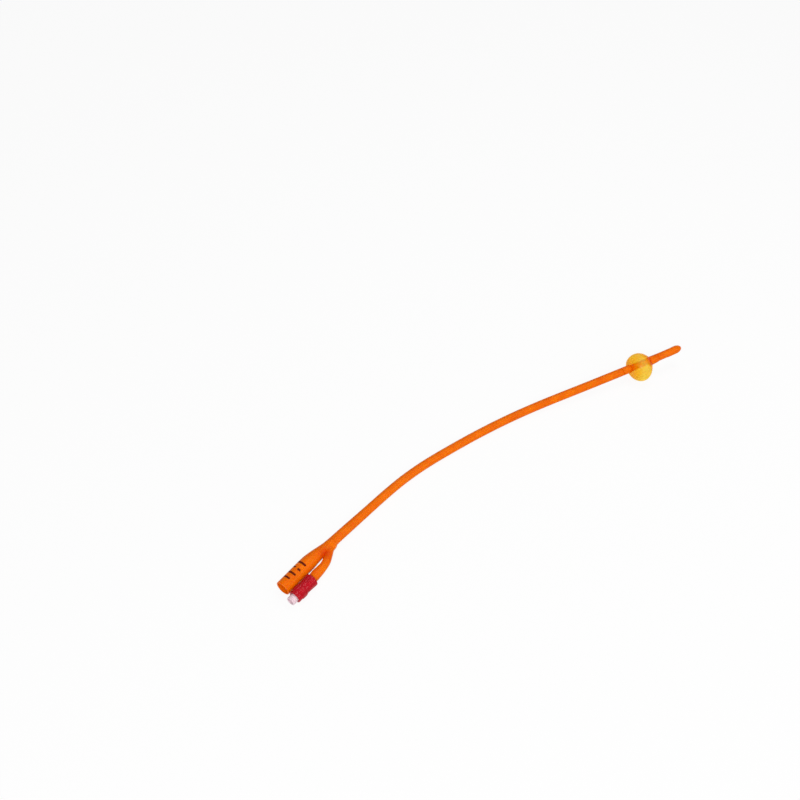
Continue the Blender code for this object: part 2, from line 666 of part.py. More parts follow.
def fluted(x, radius, turn):
    """Flutes on the sleeve's collar and skirt: a cosine wave around it that fades at their ends."""
    skirt = COLLAR_START + COLLAR_LENGTH + WAIST_LENGTH
    edge = SLEEVE_EASE
    collar = ease((x - COLLAR_START) / edge) * ease((skirt - WAIST_LENGTH - x) / edge)
    skirt_part = ease((x - skirt) / edge) * ease((SLEEVE_LENGTH - edge - x) / edge)
    if radius < SLEEVE_WAIST_OD / 2:
        return np.full(len(turn), radius)
    return radius - FLUTE_DEPTH * (collar + skirt_part) * (1 - np.cos(FLUTES * turn)) / 2


def valve_sleeve(plastic, parent):
    """The coloured sleeve: fluted skirt over the arm's end, waist, knurled collar and plain nose."""
    bore, snap = SLEEVE_BORE / 2, SLEEVE_BORE / 2 + SNAP_RIB
    nose, waist = SLEEVE_NOSE_OD / 2, SLEEVE_WAIST_OD / 2
    collar, rim = SLEEVE_COLLAR_OD / 2, SLEEVE_RIM_OD / 2
    collar_end = COLLAR_START + COLLAR_LENGTH
    skirt = collar_end + WAIST_LENGTH
    edge = SLEEVE_EASE

    def step(start, length, low, high, shares):
        """Points along a soft step from one radius to another."""
        return [(start + length * t, low + (high - low) * float(ease(t))) for t in shares]

    outside = [(0.0, nose - RIM_ROUND), (RIM_ROUND, nose), (COLLAR_START - RIM_ROUND, nose + SLEEVE_DRAFT)]
    outside += step(COLLAR_START, edge, nose, collar, (0.3, 0.65, 1.0))
    outside += [(collar_end - edge, collar)]
    outside += step(collar_end - edge, 2 * edge, collar, waist, (0.35, 0.7, 1.0))
    cone = SLEEVE_LENGTH - 2 * edge - skirt
    outside += [(skirt + cone * t, waist + (rim - waist) * t) for t in (0.1, 0.4, 0.7, 1.0)]
    outside += [(SLEEVE_LENGTH - edge * t, rim) for t in (1.5, 1.0)]
    outside += [(SLEEVE_LENGTH - RIM_ROUND, rim), (SLEEVE_LENGTH, rim - RIM_ROUND)]
    groove, past_groove = SNAP_START - GAP, SNAP_START + SNAP_RIB_LENGTH + GAP
    inside = [(SLEEVE_LENGTH, bore), (past_groove, bore), (past_groove, snap)]
    inside += [(groove, snap), (groove, bore), (0.0, bore)]
    return turned("valve_sleeve", outside + inside, 4 * FLUTES, fluted, material=plastic, parent=parent)


def valve_body(plastic, parent):
    """The white valve body: tapered luer socket, seat, chamber and the rib that holds the sleeve."""
    outer, front = LUER_OD / 2, -LUER_PROUD
    rib = outer + SNAP_RIB
    floor_radius = (LUER_BORE - LUER_TAPER * LUER_DEPTH) / 2
    profile = [
        (front, LUER_BORE / 2 + LUER_EDGE / 2),
        (front, outer - 2 * LUER_EDGE),
        (front + LUER_EDGE, outer - LUER_EDGE / 2),
        (front + 2 * LUER_EDGE, outer),
        (SNAP_START, outer),
        (SNAP_START + LUER_EDGE, rib),
        (SNAP_START + SNAP_RIB_LENGTH, rib),
        (SNAP_START + SNAP_RIB_LENGTH, outer),
        (BODY_END, outer),
        (BODY_END, CHAMBER_BORE / 2),
        (CHAMBER_START, CHAMBER_BORE / 2),
        (CHAMBER_START, SEAT_BORE / 2),
        (LUER_FLOOR, SEAT_BORE / 2),
        (LUER_FLOOR, floor_radius),
        (front + LUER_EDGE, LUER_BORE / 2),
    ]
    return turned("valve_body", profile, ROUND_SIDES, material=plastic, parent=parent)


def valve_plunger(plastic, parent):
    """The plunger: a stem that a syringe's tip pushes, the head behind the seal and a spring guide."""
    start = LUER_FLOOR - STEM_REACH
    profile = [
        (start, 0),
        (start, STEM_OD / 2 - LUER_EDGE),
        (start + LUER_EDGE, STEM_OD / 2),
        (HEAD_START, STEM_OD / 2),
        (HEAD_START, HEAD_OD / 2),
        (HEAD_END, HEAD_OD / 2),
        (HEAD_END, GUIDE_OD / 2),
        (HEAD_END + GUIDE_LENGTH, GUIDE_OD / 2),
        (HEAD_END + GUIDE_LENGTH, 0),
    ]
    return turned("valve_plunger", profile, LUMEN_SIDES, material=plastic, parent=parent)


def plunger_seal(rubber, parent):
    """The soft washer between the plunger's head and the seat."""
    bore = STEM_OD / 2 + GAP
    end = SEAL_START + SEAL_THICKNESS
    profile = [(SEAL_START, bore), (SEAL_START, SEAL_OD / 2), (end, SEAL_OD / 2), (end, bore)]
    return turned("plunger_seal", profile, LUMEN_SIDES, material=rubber, parent=parent)


def valve_spring(steel, parent):
    """The wire spring that holds the plunger shut, a helix around its guide."""
    start = HEAD_END + GAP + SPRING_WIRE / 2
    end = PLUG_START - GAP - SPRING_WIRE / 2
    radius = (GUIDE_OD / 2 + CHAMBER_BORE / 2) / 2
    turn = np.linspace(0, 2 * math.pi * SPRING_TURNS, int(14 * SPRING_TURNS))
    x = np.linspace(start, end, len(turn))
    path = np.stack([x, radius * np.cos(turn), radius * np.sin(turn)], axis=1)
    ahead = unit(np.gradient(path, axis=0))
    bm = bmesh.new()
    rings = []
    for centre, along, angle in zip(path, ahead, turn):
        out = np.array([0.0, math.cos(angle), math.sin(angle)])
        rings.append(add_ring(bm, placed(circle(SPRING_WIRE / 2, 6), centre, out, np.cross(along, out))))
    bridge(bm, rings)
    bm.faces.new(rings[0])
    bm.faces.new(rings[-1])
    return finish_object("valve_spring", bm, material=steel, parent=parent)


def valve_tail(plastic, parent):
    """The tail: a plug that closes the chamber, a flange and the barbed spigot inside the arm."""
    bore, plug = TAIL_BORE / 2, CHAMBER_BORE / 2 - GAP
    flange_end = FLANGE_START + FLANGE_THICKNESS
    profile = [
        (PLUG_START, bore),
        (PLUG_START, plug),
        (FLANGE_START, plug),
        (FLANGE_START, LUER_OD / 2),
        (flange_end, LUER_OD / 2),
        (flange_end, SPIGOT_OD / 2),
    ]
    pitch = SPIGOT_LENGTH / BARBS
    for number in range(BARBS):
        start = ARM_END + pitch * (number + (1 - BARB_SHARE) / 2)
        profile += [(start, SPIGOT_OD / 2), (start, SPIGOT_OD / 2 + BARB_HEIGHT)]
        profile += [(start + BARB_SHARE * pitch, SPIGOT_OD / 2)]
    profile += [(SPIGOT_END, bore)]
    return turned("valve_tail", profile, INNER_SIDES, material=plastic, parent=parent)


def footprint(pieces):
    """Lowest and highest corners of all the pieces' points, with each piece's parent at its place."""
    bpy.context.view_layer.update()
    low, high = np.full(3, np.inf), np.full(3, -np.inf)
    for piece in pieces:
        points = np.array([piece.matrix_world @ v.co for v in piece.data.vertices])
        low, high = np.minimum(low, points.min(axis=0)), np.maximum(high, points.max(axis=0))
    return low, high


def empty(name, parent=None, location=(0.0, 0.0, 0.0)):
    holder = bpy.data.objects.new(name, None)
    bpy.context.scene.collection.objects.link(holder)
    holder.parent = parent
    holder.location = location
    return holder


def build():
    for old in list(bpy.data.objects):
        bpy.data.objects.remove(old, do_unlink=True)
    latex = plain_material("latex", (0.84, 0.16, 0.0), 0.42)
    film = plain_material("balloon_film", (0.95, 0.45, 0.02), 0.3, alpha=0.6)
    red = plain_material("red_plastic", (0.46, 0.0, 0.012), 0.3)
    white = plain_material("white_plastic", (0.82, 0.66, 0.70), 0.35)
    grey_rubber = plain_material("seal_rubber", (0.05, 0.05, 0.05), 0.7)
    steel = plain_material("spring_steel", (0.6, 0.6, 0.6), 0.3, metallic=1.0)

    catheter = empty("catheter")
    axis = empty("valve_axis", catheter, (0.0, -VALVE_OFFSET, VALVE_HEIGHT))
    pieces = [
        catheter_body(latex, catheter),
        balloon(film, catheter),
        valve_sleeve(red, axis),
        valve_body(white, axis),
        valve_plunger(white, axis),
        plunger_seal(grey_rubber, axis),
        valve_spring(steel, axis),
        valve_tail(white, axis),
    ]
    low, high = footprint(pieces)
    catheter.location = (-(low[0] + high[0]) / 2, -(low[1] + high[1]) / 2, -low[2])
    bpy.context.view_layer.update()


build()
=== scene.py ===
"""Looks of a two-way balloon catheter: dipped latex, a liquid-filled balloon and a moulded valve.

Every new piece is a grid of points: rings across the catheter's middle line, or a profile turned
about the valve's axis. The middle line and the outlines follow the same sizes as the solids.
"""
import math

import bmesh
import bpy
import numpy as np
from mathutils import Matrix, Vector


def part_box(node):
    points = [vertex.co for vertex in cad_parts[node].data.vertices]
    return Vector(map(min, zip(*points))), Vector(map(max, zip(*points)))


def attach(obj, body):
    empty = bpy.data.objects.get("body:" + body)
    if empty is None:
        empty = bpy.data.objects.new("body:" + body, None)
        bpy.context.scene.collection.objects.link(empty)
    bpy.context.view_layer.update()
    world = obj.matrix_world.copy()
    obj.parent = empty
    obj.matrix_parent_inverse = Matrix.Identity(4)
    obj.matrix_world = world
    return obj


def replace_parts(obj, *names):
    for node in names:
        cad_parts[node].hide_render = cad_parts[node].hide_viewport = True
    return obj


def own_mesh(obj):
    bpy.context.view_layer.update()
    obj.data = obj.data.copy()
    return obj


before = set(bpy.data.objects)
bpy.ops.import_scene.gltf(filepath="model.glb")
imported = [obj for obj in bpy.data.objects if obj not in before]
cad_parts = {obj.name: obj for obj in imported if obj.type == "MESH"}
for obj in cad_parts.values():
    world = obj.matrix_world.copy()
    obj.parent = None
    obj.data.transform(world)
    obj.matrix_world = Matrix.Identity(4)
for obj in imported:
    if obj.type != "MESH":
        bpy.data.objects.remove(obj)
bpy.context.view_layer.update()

MM = 0.001
UPWARD = (0.0, 0.0, 1.0)

# Shaft, funnel and hub, the same as in the solids; distances from the funnel's mouth
GAP = 0.3 * MM  # left between solids that touch
OVERALL_LENGTH = 374.2 * MM
SHAFT_OD = 6.4 * MM
DRAIN_BORE = 3.0 * MM
DRAIN_SHIFT = 0.6 * MM  # away from the inflation channel
CHANNEL_BORE = 0.7 * MM
CHANNEL_SHIFT = 1.75 * MM  # towards the arm's side
FUNNEL_OD = 10.5 * MM
FUNNEL_BORE = 8.3 * MM
FUNNEL_LENGTH = 25.0 * MM  # straight part
TAPER_LENGTH = 16.0 * MM
TAPER_SOFT = 0.08  # roundness of the cone's two corners
BORE_LEAD = 1.0 * MM  # the bore narrows earlier than the outside
RIM_ROUND = 0.3 * MM
HUB_OD = 6.85 * MM
HUB_START = FUNNEL_LENGTH + TAPER_LENGTH
HUB_END = HUB_START + 9.0 * MM
HUB_FADE = 40.0 * MM  # from the hub's diameter to the shaft's

# Inflation arm, the same as in the solids
ARM_OD = 6.9 * MM
ARM_ROOT_OD = 5.7 * MM
ARM_SWEEP = 23.0 * MM  # it swings out from the hub
ARM_SWEEP_FROM_END = 3.5 * MM  # before the hub's end
ARM_BEND = 1.5  # above 1 it bends more sharply at the hub
ARM_MERGE = 1.4 * MM  # offset of its axis at the hub
ARM_STRETCH = 3.0 * MM  # it swells out behind the sleeve
ARM_TAPER = 12.0 * MM  # and narrows again towards its root
ARM_START = 13.3 * MM
ARM_BORE = 4.2 * MM
ARM_SINK = 0.3  # share by which its end inside the hub is narrower
ARM_SINK_FROM_END = 4.0 * MM  # before the hub's end
ARM_SINK_LENGTH = 3.0 * MM
ARM_FADE = 2.0 * MM  # past the hub's end, where its outline is lost
LEDGE = 0.4 * MM  # softness of the outline at the arm's root
SPIGOT_END = 18.5 * MM
CROTCH_ROUND = 1.5 * MM  # the two branches round out
CROTCH_TURN = 7.0 * MM  # the arm's rings turn square to its axis
WEB = 1.6 * MM  # thickness of the web at the crotch
WEB_ROOT = 4.4 * MM  # thickness where it goes over into the hub
WEB_GROWS = 7.5 * MM
KNUCKLE = 0.5 * MM  # on the outer side of the arm's root
KNUCKLE_LENGTH = 6.0 * MM
KNUCKLE_FROM_END = 1.5 * MM  # before the hub's end

# Balloon and tip, the same as in the solids
BALLOON_OD = 22.6 * MM
BALLOON_MIDDLE = 334.8 * MM
BALLOON_SAG = 0.9 * MM  # it hangs below the shaft's axis
BALLOON_LEAN = 1.6 * MM  # and bulges more towards the arm's side
FAR_LEAN = 0.4  # power by which the lean fades towards the far cuff
NEAR_HALF = 8.9 * MM  # from its middle to its blunt end
NEAR_POWER = 0.8  # of the sine: below 1 it is blunter than an ellipse
FAR_HALF = 11.0 * MM  # to the end that is drawn out
FAR_POWER = 1.6
DIMPLE = 0.5 * MM  # of the blunt end around the cuff
DIMPLE_WIDTH = 1.5 * MM
CUFF_LENGTH = 6.0 * MM  # bonded end of the balloon
FAR_CUFF_ROOT_OD = 7.3 * MM  # the far cuff is a cone from this diameter
SEAT_OD = 5.2 * MM  # of the shaft under the balloon
SEAT_STEP = 0.6 * MM  # at each end of the seat
TIP_NECK_OD = 6.1 * MM
TIP_OD = 6.3 * MM
TIP_ROUND = 5.5 * MM
TIP_SWELL = 15.0 * MM
TIP_SOLID = 6.8 * MM  # past the drainage channel's blind end
EYE_LENGTH = 5.0 * MM
EYE_WIDTH = 2.2 * MM
EYES_FROM_TIP = (10.0 * MM, 16.5 * MM)
EYE_TURN = math.radians(143)  # of the first eye, from the arm's side

# Valve, the same as in the solids; distances from the sleeve's front face
LUER_OD = 6.1 * MM
LUER_BORE = 4.3 * MM
LUER_TAPER = 0.06  # loss of diameter for each unit of depth
LUER_DEPTH = 7.5 * MM
LUER_PROUD = 3.9 * MM  # stands out of the sleeve
SEAT_BORE = 2.6 * MM
SEAT_LAND = 1.0 * MM
CHAMBER_BORE = 4.7 * MM
BODY_END = 12.0 * MM
SNAP_RIB = 0.4 * MM  # it holds the sleeve
SNAP_RIB_LENGTH = 1.2 * MM
SLEEVE_LENGTH = 17.0 * MM
SLEEVE_COLLAR_OD = 9.6 * MM
SLEEVE_BORE = 6.7 * MM
COLLAR_START = 3.0 * MM
COLLAR_END = 7.6 * MM
SKIRT_START = 10.0 * MM
FLUTES = 12
SPRING_WIRE = 0.35 * MM
SPRING_TURNS = 4.5

# Where the look departs a little from the solids
CHANNEL_TAPER = 4.0 * MM  # from the arm's wide bore down to the channel
ARM_HUG = 0.6 * MM  # the soft arm leans towards the funnel
HUG_START = SLEEVE_LENGTH - 1.0 * MM
HUG_GROWS = 6.0 * MM
HUG_END = 36.0 * MM
HUG_FADES = 10.0 * MM
CROTCH_GAP = 0.08 * MM  # between funnel and arm where the web ends
CUFF_OD = SHAFT_OD  # flush with the shaft
NEAR_CUFF_INSIDE = 0.9 * MM  # into the bulb
FAR_CUFF_INSIDE = 1.5 * MM
CUFF_ROUND = 0.4 * MM  # of a cuff's free end
CUFF_EDGE = 0.05  # share of its height that is left there
CUFF_SINK = 0.04 * MM  # into the shaft's seat
BULB_SINK = 0.05 * MM
EYE_EDGE = 0.6 * MM  # an eye widens from this depth below the skin
EYE_FLARE = 0.45  # its growth at twice the tube's radius
SLEEVE_RIM_OD = 9.4 * MM
SLEEVE_WAIST_OD = 8.6 * MM
SLEEVE_NOSE_OD = 8.7 * MM
SLEEVE_EASE = 0.7 * MM  # soft steps beside the collar, and the ribs' ends
COLLAR_FALL = 0.6 * MM  # before the collar's end
RIM_BAND = 1.6 * MM  # straight part of the skirt
SLEEVE_ROUND = 0.45 * MM
FLUTE_DEPTH = 0.22 * MM
FLUTE_POWER = 1.5  # above 1 the grooves are narrower than the ribs
SNAP_START = 4.3 * MM
SNAP_RAMP = 0.2 * MM
LUER_ROUND = 0.22 * MM
CORNER_SHARE = 0.45  # most that a rounded corner takes of a side

# Worked out
SEAT_START = BALLOON_MIDDLE - NEAR_HALF - CUFF_LENGTH - SEAT_STEP
SEAT_END = BALLOON_MIDDLE + FAR_HALF + CUFF_LENGTH
LUER_FLOOR = LUER_DEPTH - LUER_PROUD
CHAMBER_START = LUER_FLOOR + SEAT_LAND
SNAP_END = SNAP_START + SNAP_RIB_LENGTH
VALVE_OFFSET = (FUNNEL_OD + SLEEVE_COLLAR_OD) / 2 + GAP
VALVE_HEIGHT = SLEEVE_COLLAR_OD / 2

# The lie of the catheter: each bend is its middle, its half length and its turn
BENDS = (
    (27.7 * MM, 9.0 * MM, math.radians(-5.3)),
    (44.9 * MM, 9.0 * MM, math.radians(2.7)),
    (124.5 * MM, 38.7 * MM, math.radians(-13.5)),
    (217.0 * MM, 60.0 * MM, math.radians(-12.4)),
    (362.5 * MM, 12.0 * MM, math.radians(3.5)),
)
LANDING = 110.0 * MM  # where the shaft reaches the floor
LIFT_OFF = 190.0 * MM  # where it rises again to the balloon

# Plain bars of print on the funnel: distance, first and last angle from the far side, width
PRINT_BARS = (
    (19.8, 30, 121, 1.5),
    (15.2, 32, 70, 1.3),
    (14.8, 90, 118, 1.4),
    (10.4, 32, 117, 1.4),
    (6.1, 44, 103, 1.3),
)
INK_HEIGHT = 0.03 * MM  # proud, thicker than real ink
BAR_TIP = 0.02 * MM  # half a bar's width at its ends

# Where the moulding is divided into junction and free shaft
SHAFT_START = HUB_END + 12.0 * MM

# Fineness of the new pieces
LINE_STEP = 0.25 * MM
REACH = 0.5 * MM  # between the points that give a direction
FUNNEL_COLUMNS = 44
ARM_COLUMNS = 26
HUB_STEP = 0.35 * MM
CROTCH_RINGS = 9
RIM_RINGS = 5
EVEN_START = HUB_END + 1.0 * MM
COLUMNS_EVEN = 8.4 * MM  # the rings' points spread evenly
SHAFT_STEP = 1.0 * MM
SHAFT_SIDES = 72
SEAT_RINGS = 7
TIP_RINGS = 16
LUMEN_STEP = 1.0 * MM
LUMEN_SIDES = 32
CHANNEL_SIDES = 12
EYE_ARC_POINTS = 25
BULB_RINGS = 72
BULB_SIDES = 96
CUFF_RINGS = 30
SLEEVE_STEP = 0.25 * MM
SLEEVE_SIDES = 240
LUER_STEP = 0.5 * MM
LUER_SIDES = 96
SPRING_STATIONS = 220
WIRE_SIDES = 12
BAR_STATIONS = 33
BAR_COLUMNS = 5
SHARP_ANGLE = math.radians(35)

# Colours, and where shade is painted in the crotch's valley
LATEX_DEEP = "#E66600"
LATEX_LIGHT = "#F07400"
# painted shade: a deeper, redder orange for the crotch's shadowed valley
LATEX_CROTCH_SHADE = "#D84400"
CROTCH_SHADE_REACH = 4.5 * MM  # from the web's middle: the reach of the painted shade in the crotch's valley
WEB_MIDDLE = 2.0 * MM  # past the crotch and above the middle line
# from orange to pale yellow: by the film's stretch, and painted light where the balloon hangs
FILM_COLOURS = ((0.0, "#F06C00"), (0.3, "#FF9400"), (0.55, "#FFC000"), (0.85, "#FFE858"))
FILM_TINT = "#FFE480"
FILM_SHARE = 0.38  # of its own surface; the rest is what lies behind

# Stretch of the film, with painted light: near 0 at the cuffs, near 1 where it is widest and hangs. The
# paler yellow where it hangs is partly painted light, focused by the filling onto its lower side
STRETCH_EVEN = 0.84  # where the balloon is widest
HANG_STRETCH_AND_GLOW = 0.16  # more where it hangs, less opposite: partly stretch, partly painted light
STRETCH_FAR = 0.2  # less towards the far cuff
STRETCH_FAR_HANG = 0.3  # and less again there away from the hang
STRETCH_FADE = 0.7 * FAR_HALF

# Soft boxes: name, place, point that they face, side and watts
LAMPS = (
    ("overhead", (0.25, 0.03, 0.91), (0.0, 0.0, 0.0), 0.45, 2.4),
    ("front", (-0.8, -0.35, 0.75), (-0.1, 0.0, 0.0), 0.35, 6.2),
    ("right", (0.25, -0.73, 0.48), (0.0, 0.0, 0.0), 0.35, 1.8),
)
FLOOR_GLOW = 0.92  # share of plain white where the floor is seen
FLOOR_HALF = 3.0
AMBIENT = 0.3

# The camera, from the photograph's perspective
CAMERA_FROM_MOUTH = np.array([-194.06, -251.93, 505.55]) * MM
CAMERA_AZIMUTH = math.radians(-51.618)
CAMERA_ELEVATION = math.radians(46.495)
CAMERA_ROLL = math.radians(-0.6645)
CAMERA_LENS = 40.18
CAMERA_SENSOR = 36.0
CAMERA_CLIP = 0.01

# Place of the mouth's middle on the floor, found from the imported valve
VALVE_LOW, VALVE_HIGH = (np.array(corner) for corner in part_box("valve_body"))
VALVE_FRONT = VALVE_LOW[0] + LUER_PROUD
VALVE_AXIS = (VALVE_LOW[1:] + VALVE_HIGH[1:]) / 2
MOUTH = np.array([VALVE_FRONT, VALVE_AXIS[0] + VALVE_OFFSET, 0.0])


def ease(t):
    """Smooth step 3 t^2 - 2 t^3, from 0 to 1."""
    t = np.clip(t, 0.0, 1.0)
    return t * t * (3 - 2 * t)


def ramp(t, soft):
    """Straight slope from 0 to 1 with soft corners: half of 1 + sqrt(t^2+e^2) - sqrt((1-t)^2+e^2)."""
    return (1 + np.sqrt(t * t + soft * soft) - np.sqrt((1 - t) ** 2 + soft * soft)) / 2


def lift(t):
    """Curve of a held strip whose end is raised: (3 t^2 - t^3) / 2, then straight on."""
    t = np.maximum(t, 0.0)
    return np.where(t < 1, t * t * (1.5 - 0.5 * t), 1 + 1.5 * (t - 1))


def unit(vectors):
    """Vectors of length one in the same directions."""
    return vectors / np.linalg.norm(vectors, axis=-1, keepdims=True)


def middle_line(step=LINE_STEP):
    """Distances and points of the middle line: plan headings summed up, heights eased to the floor."""
    s = np.arange(0.0, OVERALL_LENGTH + step, step)
    heading = sum(turn * ease((s - middle + half) / (2 * half)) for middle, half, turn in BENDS)
    mean = (heading[1:] + heading[:-1]) / 2
    x = np.r_[0.0, np.cumsum(step * np.cos(mean))]
    y = np.r_[0.0, np.cumsum(step * np.sin(mean))]
    floor = SHAFT_OD / 2
    raised = BALLOON_OD / 2 + BALLOON_SAG
    down = 1 - ease((s - FUNNEL_LENGTH) / (LANDING - FUNNEL_LENGTH))
    up = lift((s - LIFT_OFF) / (BALLOON_MIDDLE - LIFT_OFF))
    z = floor + (FUNNEL_OD / 2 - floor) * down + (raised - floor) * up
    return s, np.stack([x, y, z], axis=1)


LINE_S, LINE = middle_line()


def line_point(s):
    """Points of the middle line at the distances s, in the part's place."""
    s = np.asarray(s, float)
    return MOUTH + np.stack([np.interp(s, LINE_S, LINE[:, k]) for k in range(3)], axis=-1)


def line_frame(s):
    """Points of the middle line with the directions ahead, towards the arm's side and up."""
    s = np.asarray(s, float)
    after = line_point(np.minimum(s + REACH, OVERALL_LENGTH))
    ahead = unit(after - line_point(np.maximum(s - REACH, 0)))
    side = unit(np.cross(ahead, UPWARD))
    return line_point(s), ahead, side, np.cross(side, ahead)


def main_radius(s):
    """Outer radius of funnel, hub, shaft, balloon seat and rounded tip, by distance from the mouth."""
    s = np.asarray(s, float)
    r = FUNNEL_OD / 2 + (HUB_OD - FUNNEL_OD) / 2 * ramp((s - FUNNEL_LENGTH) / TAPER_LENGTH, TAPER_SOFT)
    r = r + (SHAFT_OD - HUB_OD) / 2 * ease((s - HUB_END) / HUB_FADE)
    r = r + (SEAT_OD - SHAFT_OD) / 2 * ease((s - SEAT_START) / SEAT_STEP)
    r = r + (TIP_NECK_OD - SEAT_OD) / 2 * ease((s - SEAT_END) / SEAT_STEP)
    r = r + (TIP_OD - TIP_NECK_OD) / 2 * ease((s - OVERALL_LENGTH + TIP_SWELL + TIP_ROUND) / TIP_SWELL)
    left = np.clip((OVERALL_LENGTH - s) / TIP_ROUND, 0.0, 1.0)
    return r * np.sqrt(1 - (1 - left) ** 2)


def arm_offset(s):
    """How far the arm's axis lies to the side of the middle line, and above it."""
    swung = np.clip((HUB_END - ARM_SWEEP_FROM_END - s) / ARM_SWEEP, 0.0, 1.0)
    apart = ease(1 - (1 - swung) ** ARM_BEND)
    hug = ARM_HUG * ease((s - HUG_START) / HUG_GROWS) * ease((HUG_END - s) / HUG_FADES)
    across = ARM_MERGE + (VALVE_OFFSET - ARM_MERGE) * apart - hug
    point, _, side, _ = line_frame(s)
    straight = (point[..., 1] - VALVE_AXIS[0]) / -side[..., 1]
    return across + (straight - VALVE_OFFSET) * apart, (VALVE_HEIGHT - point[..., 2]) * apart


def arm_radius(s):
    """Outer radius of the arm: held in the valve's sleeve, full behind it, slimmer at its root."""
    s = np.asarray(s, float)
    r = LUER_OD / 2 + (ARM_OD - LUER_OD) / 2 * ease((s - SLEEVE_LENGTH) / ARM_STRETCH)
    r = r + (ARM_ROOT_OD - ARM_OD) / 2 * ease((s - SLEEVE_LENGTH - ARM_STRETCH) / ARM_TAPER)
    along = np.clip((HUB_END - s - KNUCKLE_FROM_END) / KNUCKLE_LENGTH, 0.0, 1.0)
    sunk = ease((s - HUB_END + ARM_SINK_FROM_END) / ARM_SINK_LENGTH)
    return (r + KNUCKLE * np.sin(math.pi * along) ** 2) * (1 - ARM_SINK * sunk)


def beside_line(s, across, above=0.0):
    """Points beside the middle line: so far towards the arm's side, and so far up."""
    point, _, side, up = line_frame(s)
    return point + np.asarray(across)[..., None] * side + np.asarray(above)[..., None] * up


def arm_frame(s, turned):
    """Directions across the arm's rings, which turn from the hub's plane to the arm's own.

    The third value is how much wider than a circle the slanting cut through the round arm is.
    """
    after = beside_line(s + REACH, *arm_offset(s + REACH))
    own = unit(after - beside_line(s, *arm_offset(s)))
    share = np.asarray(turned)[..., None]
    ahead = unit(line_frame(s)[1] * (1 - share) + own * share)
    side = unit(np.cross(ahead, UPWARD))
    return side, np.cross(side, ahead), 1 / np.sum(ahead * own, axis=-1)


def find_crotch():
    """Distance at which funnel and arm have parted by the crotch's gap."""
    s = np.arange(HUB_END, FUNNEL_LENGTH, -LINE_STEP)
    gap = arm_offset(s)[0] - arm_radius(s) * arm_frame(s, 0.0)[2] - main_radius(s)
    return float(s[np.argmax(gap > CROTCH_GAP)])


CROTCH = find_crotch()


def spread(low, high, count):
    """Columns from low to high, closer together at both ends: half a cosine wave."""
    share = (1 - np.cos(np.linspace(0, math.pi, count + 1))) / 2
    return low[:, None] + (high - low)[:, None] * share


def hub_sections(s, funnel_columns, arm_columns):
    """Outlines across the hub, one row of (side, up) points for each distance.

    At each column the half height is the fourth-power mean of three half chords: the funnel's
    circle, the arm's circle and the web between them. That rounds the valley where they meet.
    """
    main, arm = main_radius(s), arm_radius(s)
    across, above = arm_offset(s)
    slant = arm_frame(s, 0.0)[2]
    reach = across + arm * slant
    fades = 1 - ease((s - HUB_END) / ARM_FADE)
    far = main + fades * (reach - main + np.sqrt((reach - main) ** 2 + LEDGE**2)) / 2
    across = across + (far - reach) / 2
    wide = arm * slant + (far - reach) / 2
    waist = (main + across - wide) / 2
    u = np.hstack([spread(-main, waist, funnel_columns), spread(waist, far, arm_columns)[:, 1:]])
    plain = -main[:, None] * np.cos(np.linspace(0, math.pi, funnel_columns + arm_columns + 1))
    u = u + (plain - u) * ease((s - EVEN_START) / COLUMNS_EVEN)[:, None]
    between = np.clip(u / across[:, None], 0.0, 1.0)
    chord_main = np.sqrt(np.maximum(main[:, None] ** 2 - u**2, 0.0))
    chord_arm = np.sqrt(np.maximum(1 - ((u - across[:, None]) / wide[:, None]) ** 2, 0.0))
    web = WEB / 2 + (WEB_ROOT - WEB) / 2 * ease((s - CROTCH) / WEB_GROWS)
    web = web[:, None] * np.sqrt(np.sin(math.pi * between))
    fades = fades[:, None]
    half = (chord_main**4 + fades * ((arm[:, None] * chord_arm) ** 4 + web**4)) ** 0.25
    middle = above[:, None] * fades * between
    over = np.stack([u, middle + half], axis=-1)
    under = np.stack([u, middle - half], axis=-1)[:, -2:0:-1]
    return np.concatenate([over, under], axis=1)


def on_circle(radius, turn):
    """(side, up) points at angles counted from the far side over the top to the arm's side."""
    return np.asarray(radius)[..., None, None] * np.stack([-np.cos(turn), np.sin(turn)], axis=-1)


def even_turns(count):
    """Angles of evenly spaced points around a full turn."""
    return 2 * math.pi * np.arange(count) / count


def branch_outlines(cut_ring, centre, radius_at, s):
    """Outlines of a branch about its own axis, from the hub's cut ring to plain circles.

    The cut ring is a circle with a beak, its web. Past the crotch the beak draws in along a quarter
    arc, and the points spread evenly around the circle.
    """
    from_axis = cut_ring - centre
    turn = np.unwrap(np.arctan2(from_axis[:, 1], -from_axis[:, 0]))
    even = turn[0] + even_turns(len(turn))
    beak = from_axis - on_circle(radius_at(CROTCH), turn)
    past = (CROTCH - s)[:, None]
    turns = turn + (even - turn) * ease(past / COLUMNS_EVEN)
    left = 1 - np.minimum(past / CROTCH_ROUND, 1.0)[..., None]
    return on_circle(radius_at(s), turns) + beak * (1 - np.sqrt(1 - left**2))


def placed(outlines, centre, side, up):
    """Rows of (side, up) points set into space, each row in its own frame."""
    return centre[:, None] + outlines[..., :1] * side[:, None] + outlines[..., 1:] * up[:, None]


def rings_along(s, radii, count, across=0.0):
    """Rings of points around the middle line, or around a line beside it."""
    _, _, side, up = line_frame(s)
    circles = on_circle(radii, even_turns(count))
    return placed(circles, beside_line(s, across + 0 * s), side, up)


def join_rings(rings):
    """Quads between neighbouring rings, given as rows of point numbers that close around."""
    near, far = rings[:-1], rings[1:]
    quads = [near, np.roll(near, -1, axis=1), np.roll(far, -1, axis=1), far]
    return np.stack(quads, axis=-1).reshape(-1, 4).tolist()


def numbered(rings, first=0):
    """Point numbers of a block of rings."""
    rows, columns = rings.shape[:2]
    return first + np.arange(rows * columns).reshape(rows, columns)


def new_object(name, data):
    """An object in the scene that shows a mesh, a lamp or a camera."""
    made = bpy.data.objects.new(name, data)
    bpy.context.scene.collection.objects.link(made)
    return made


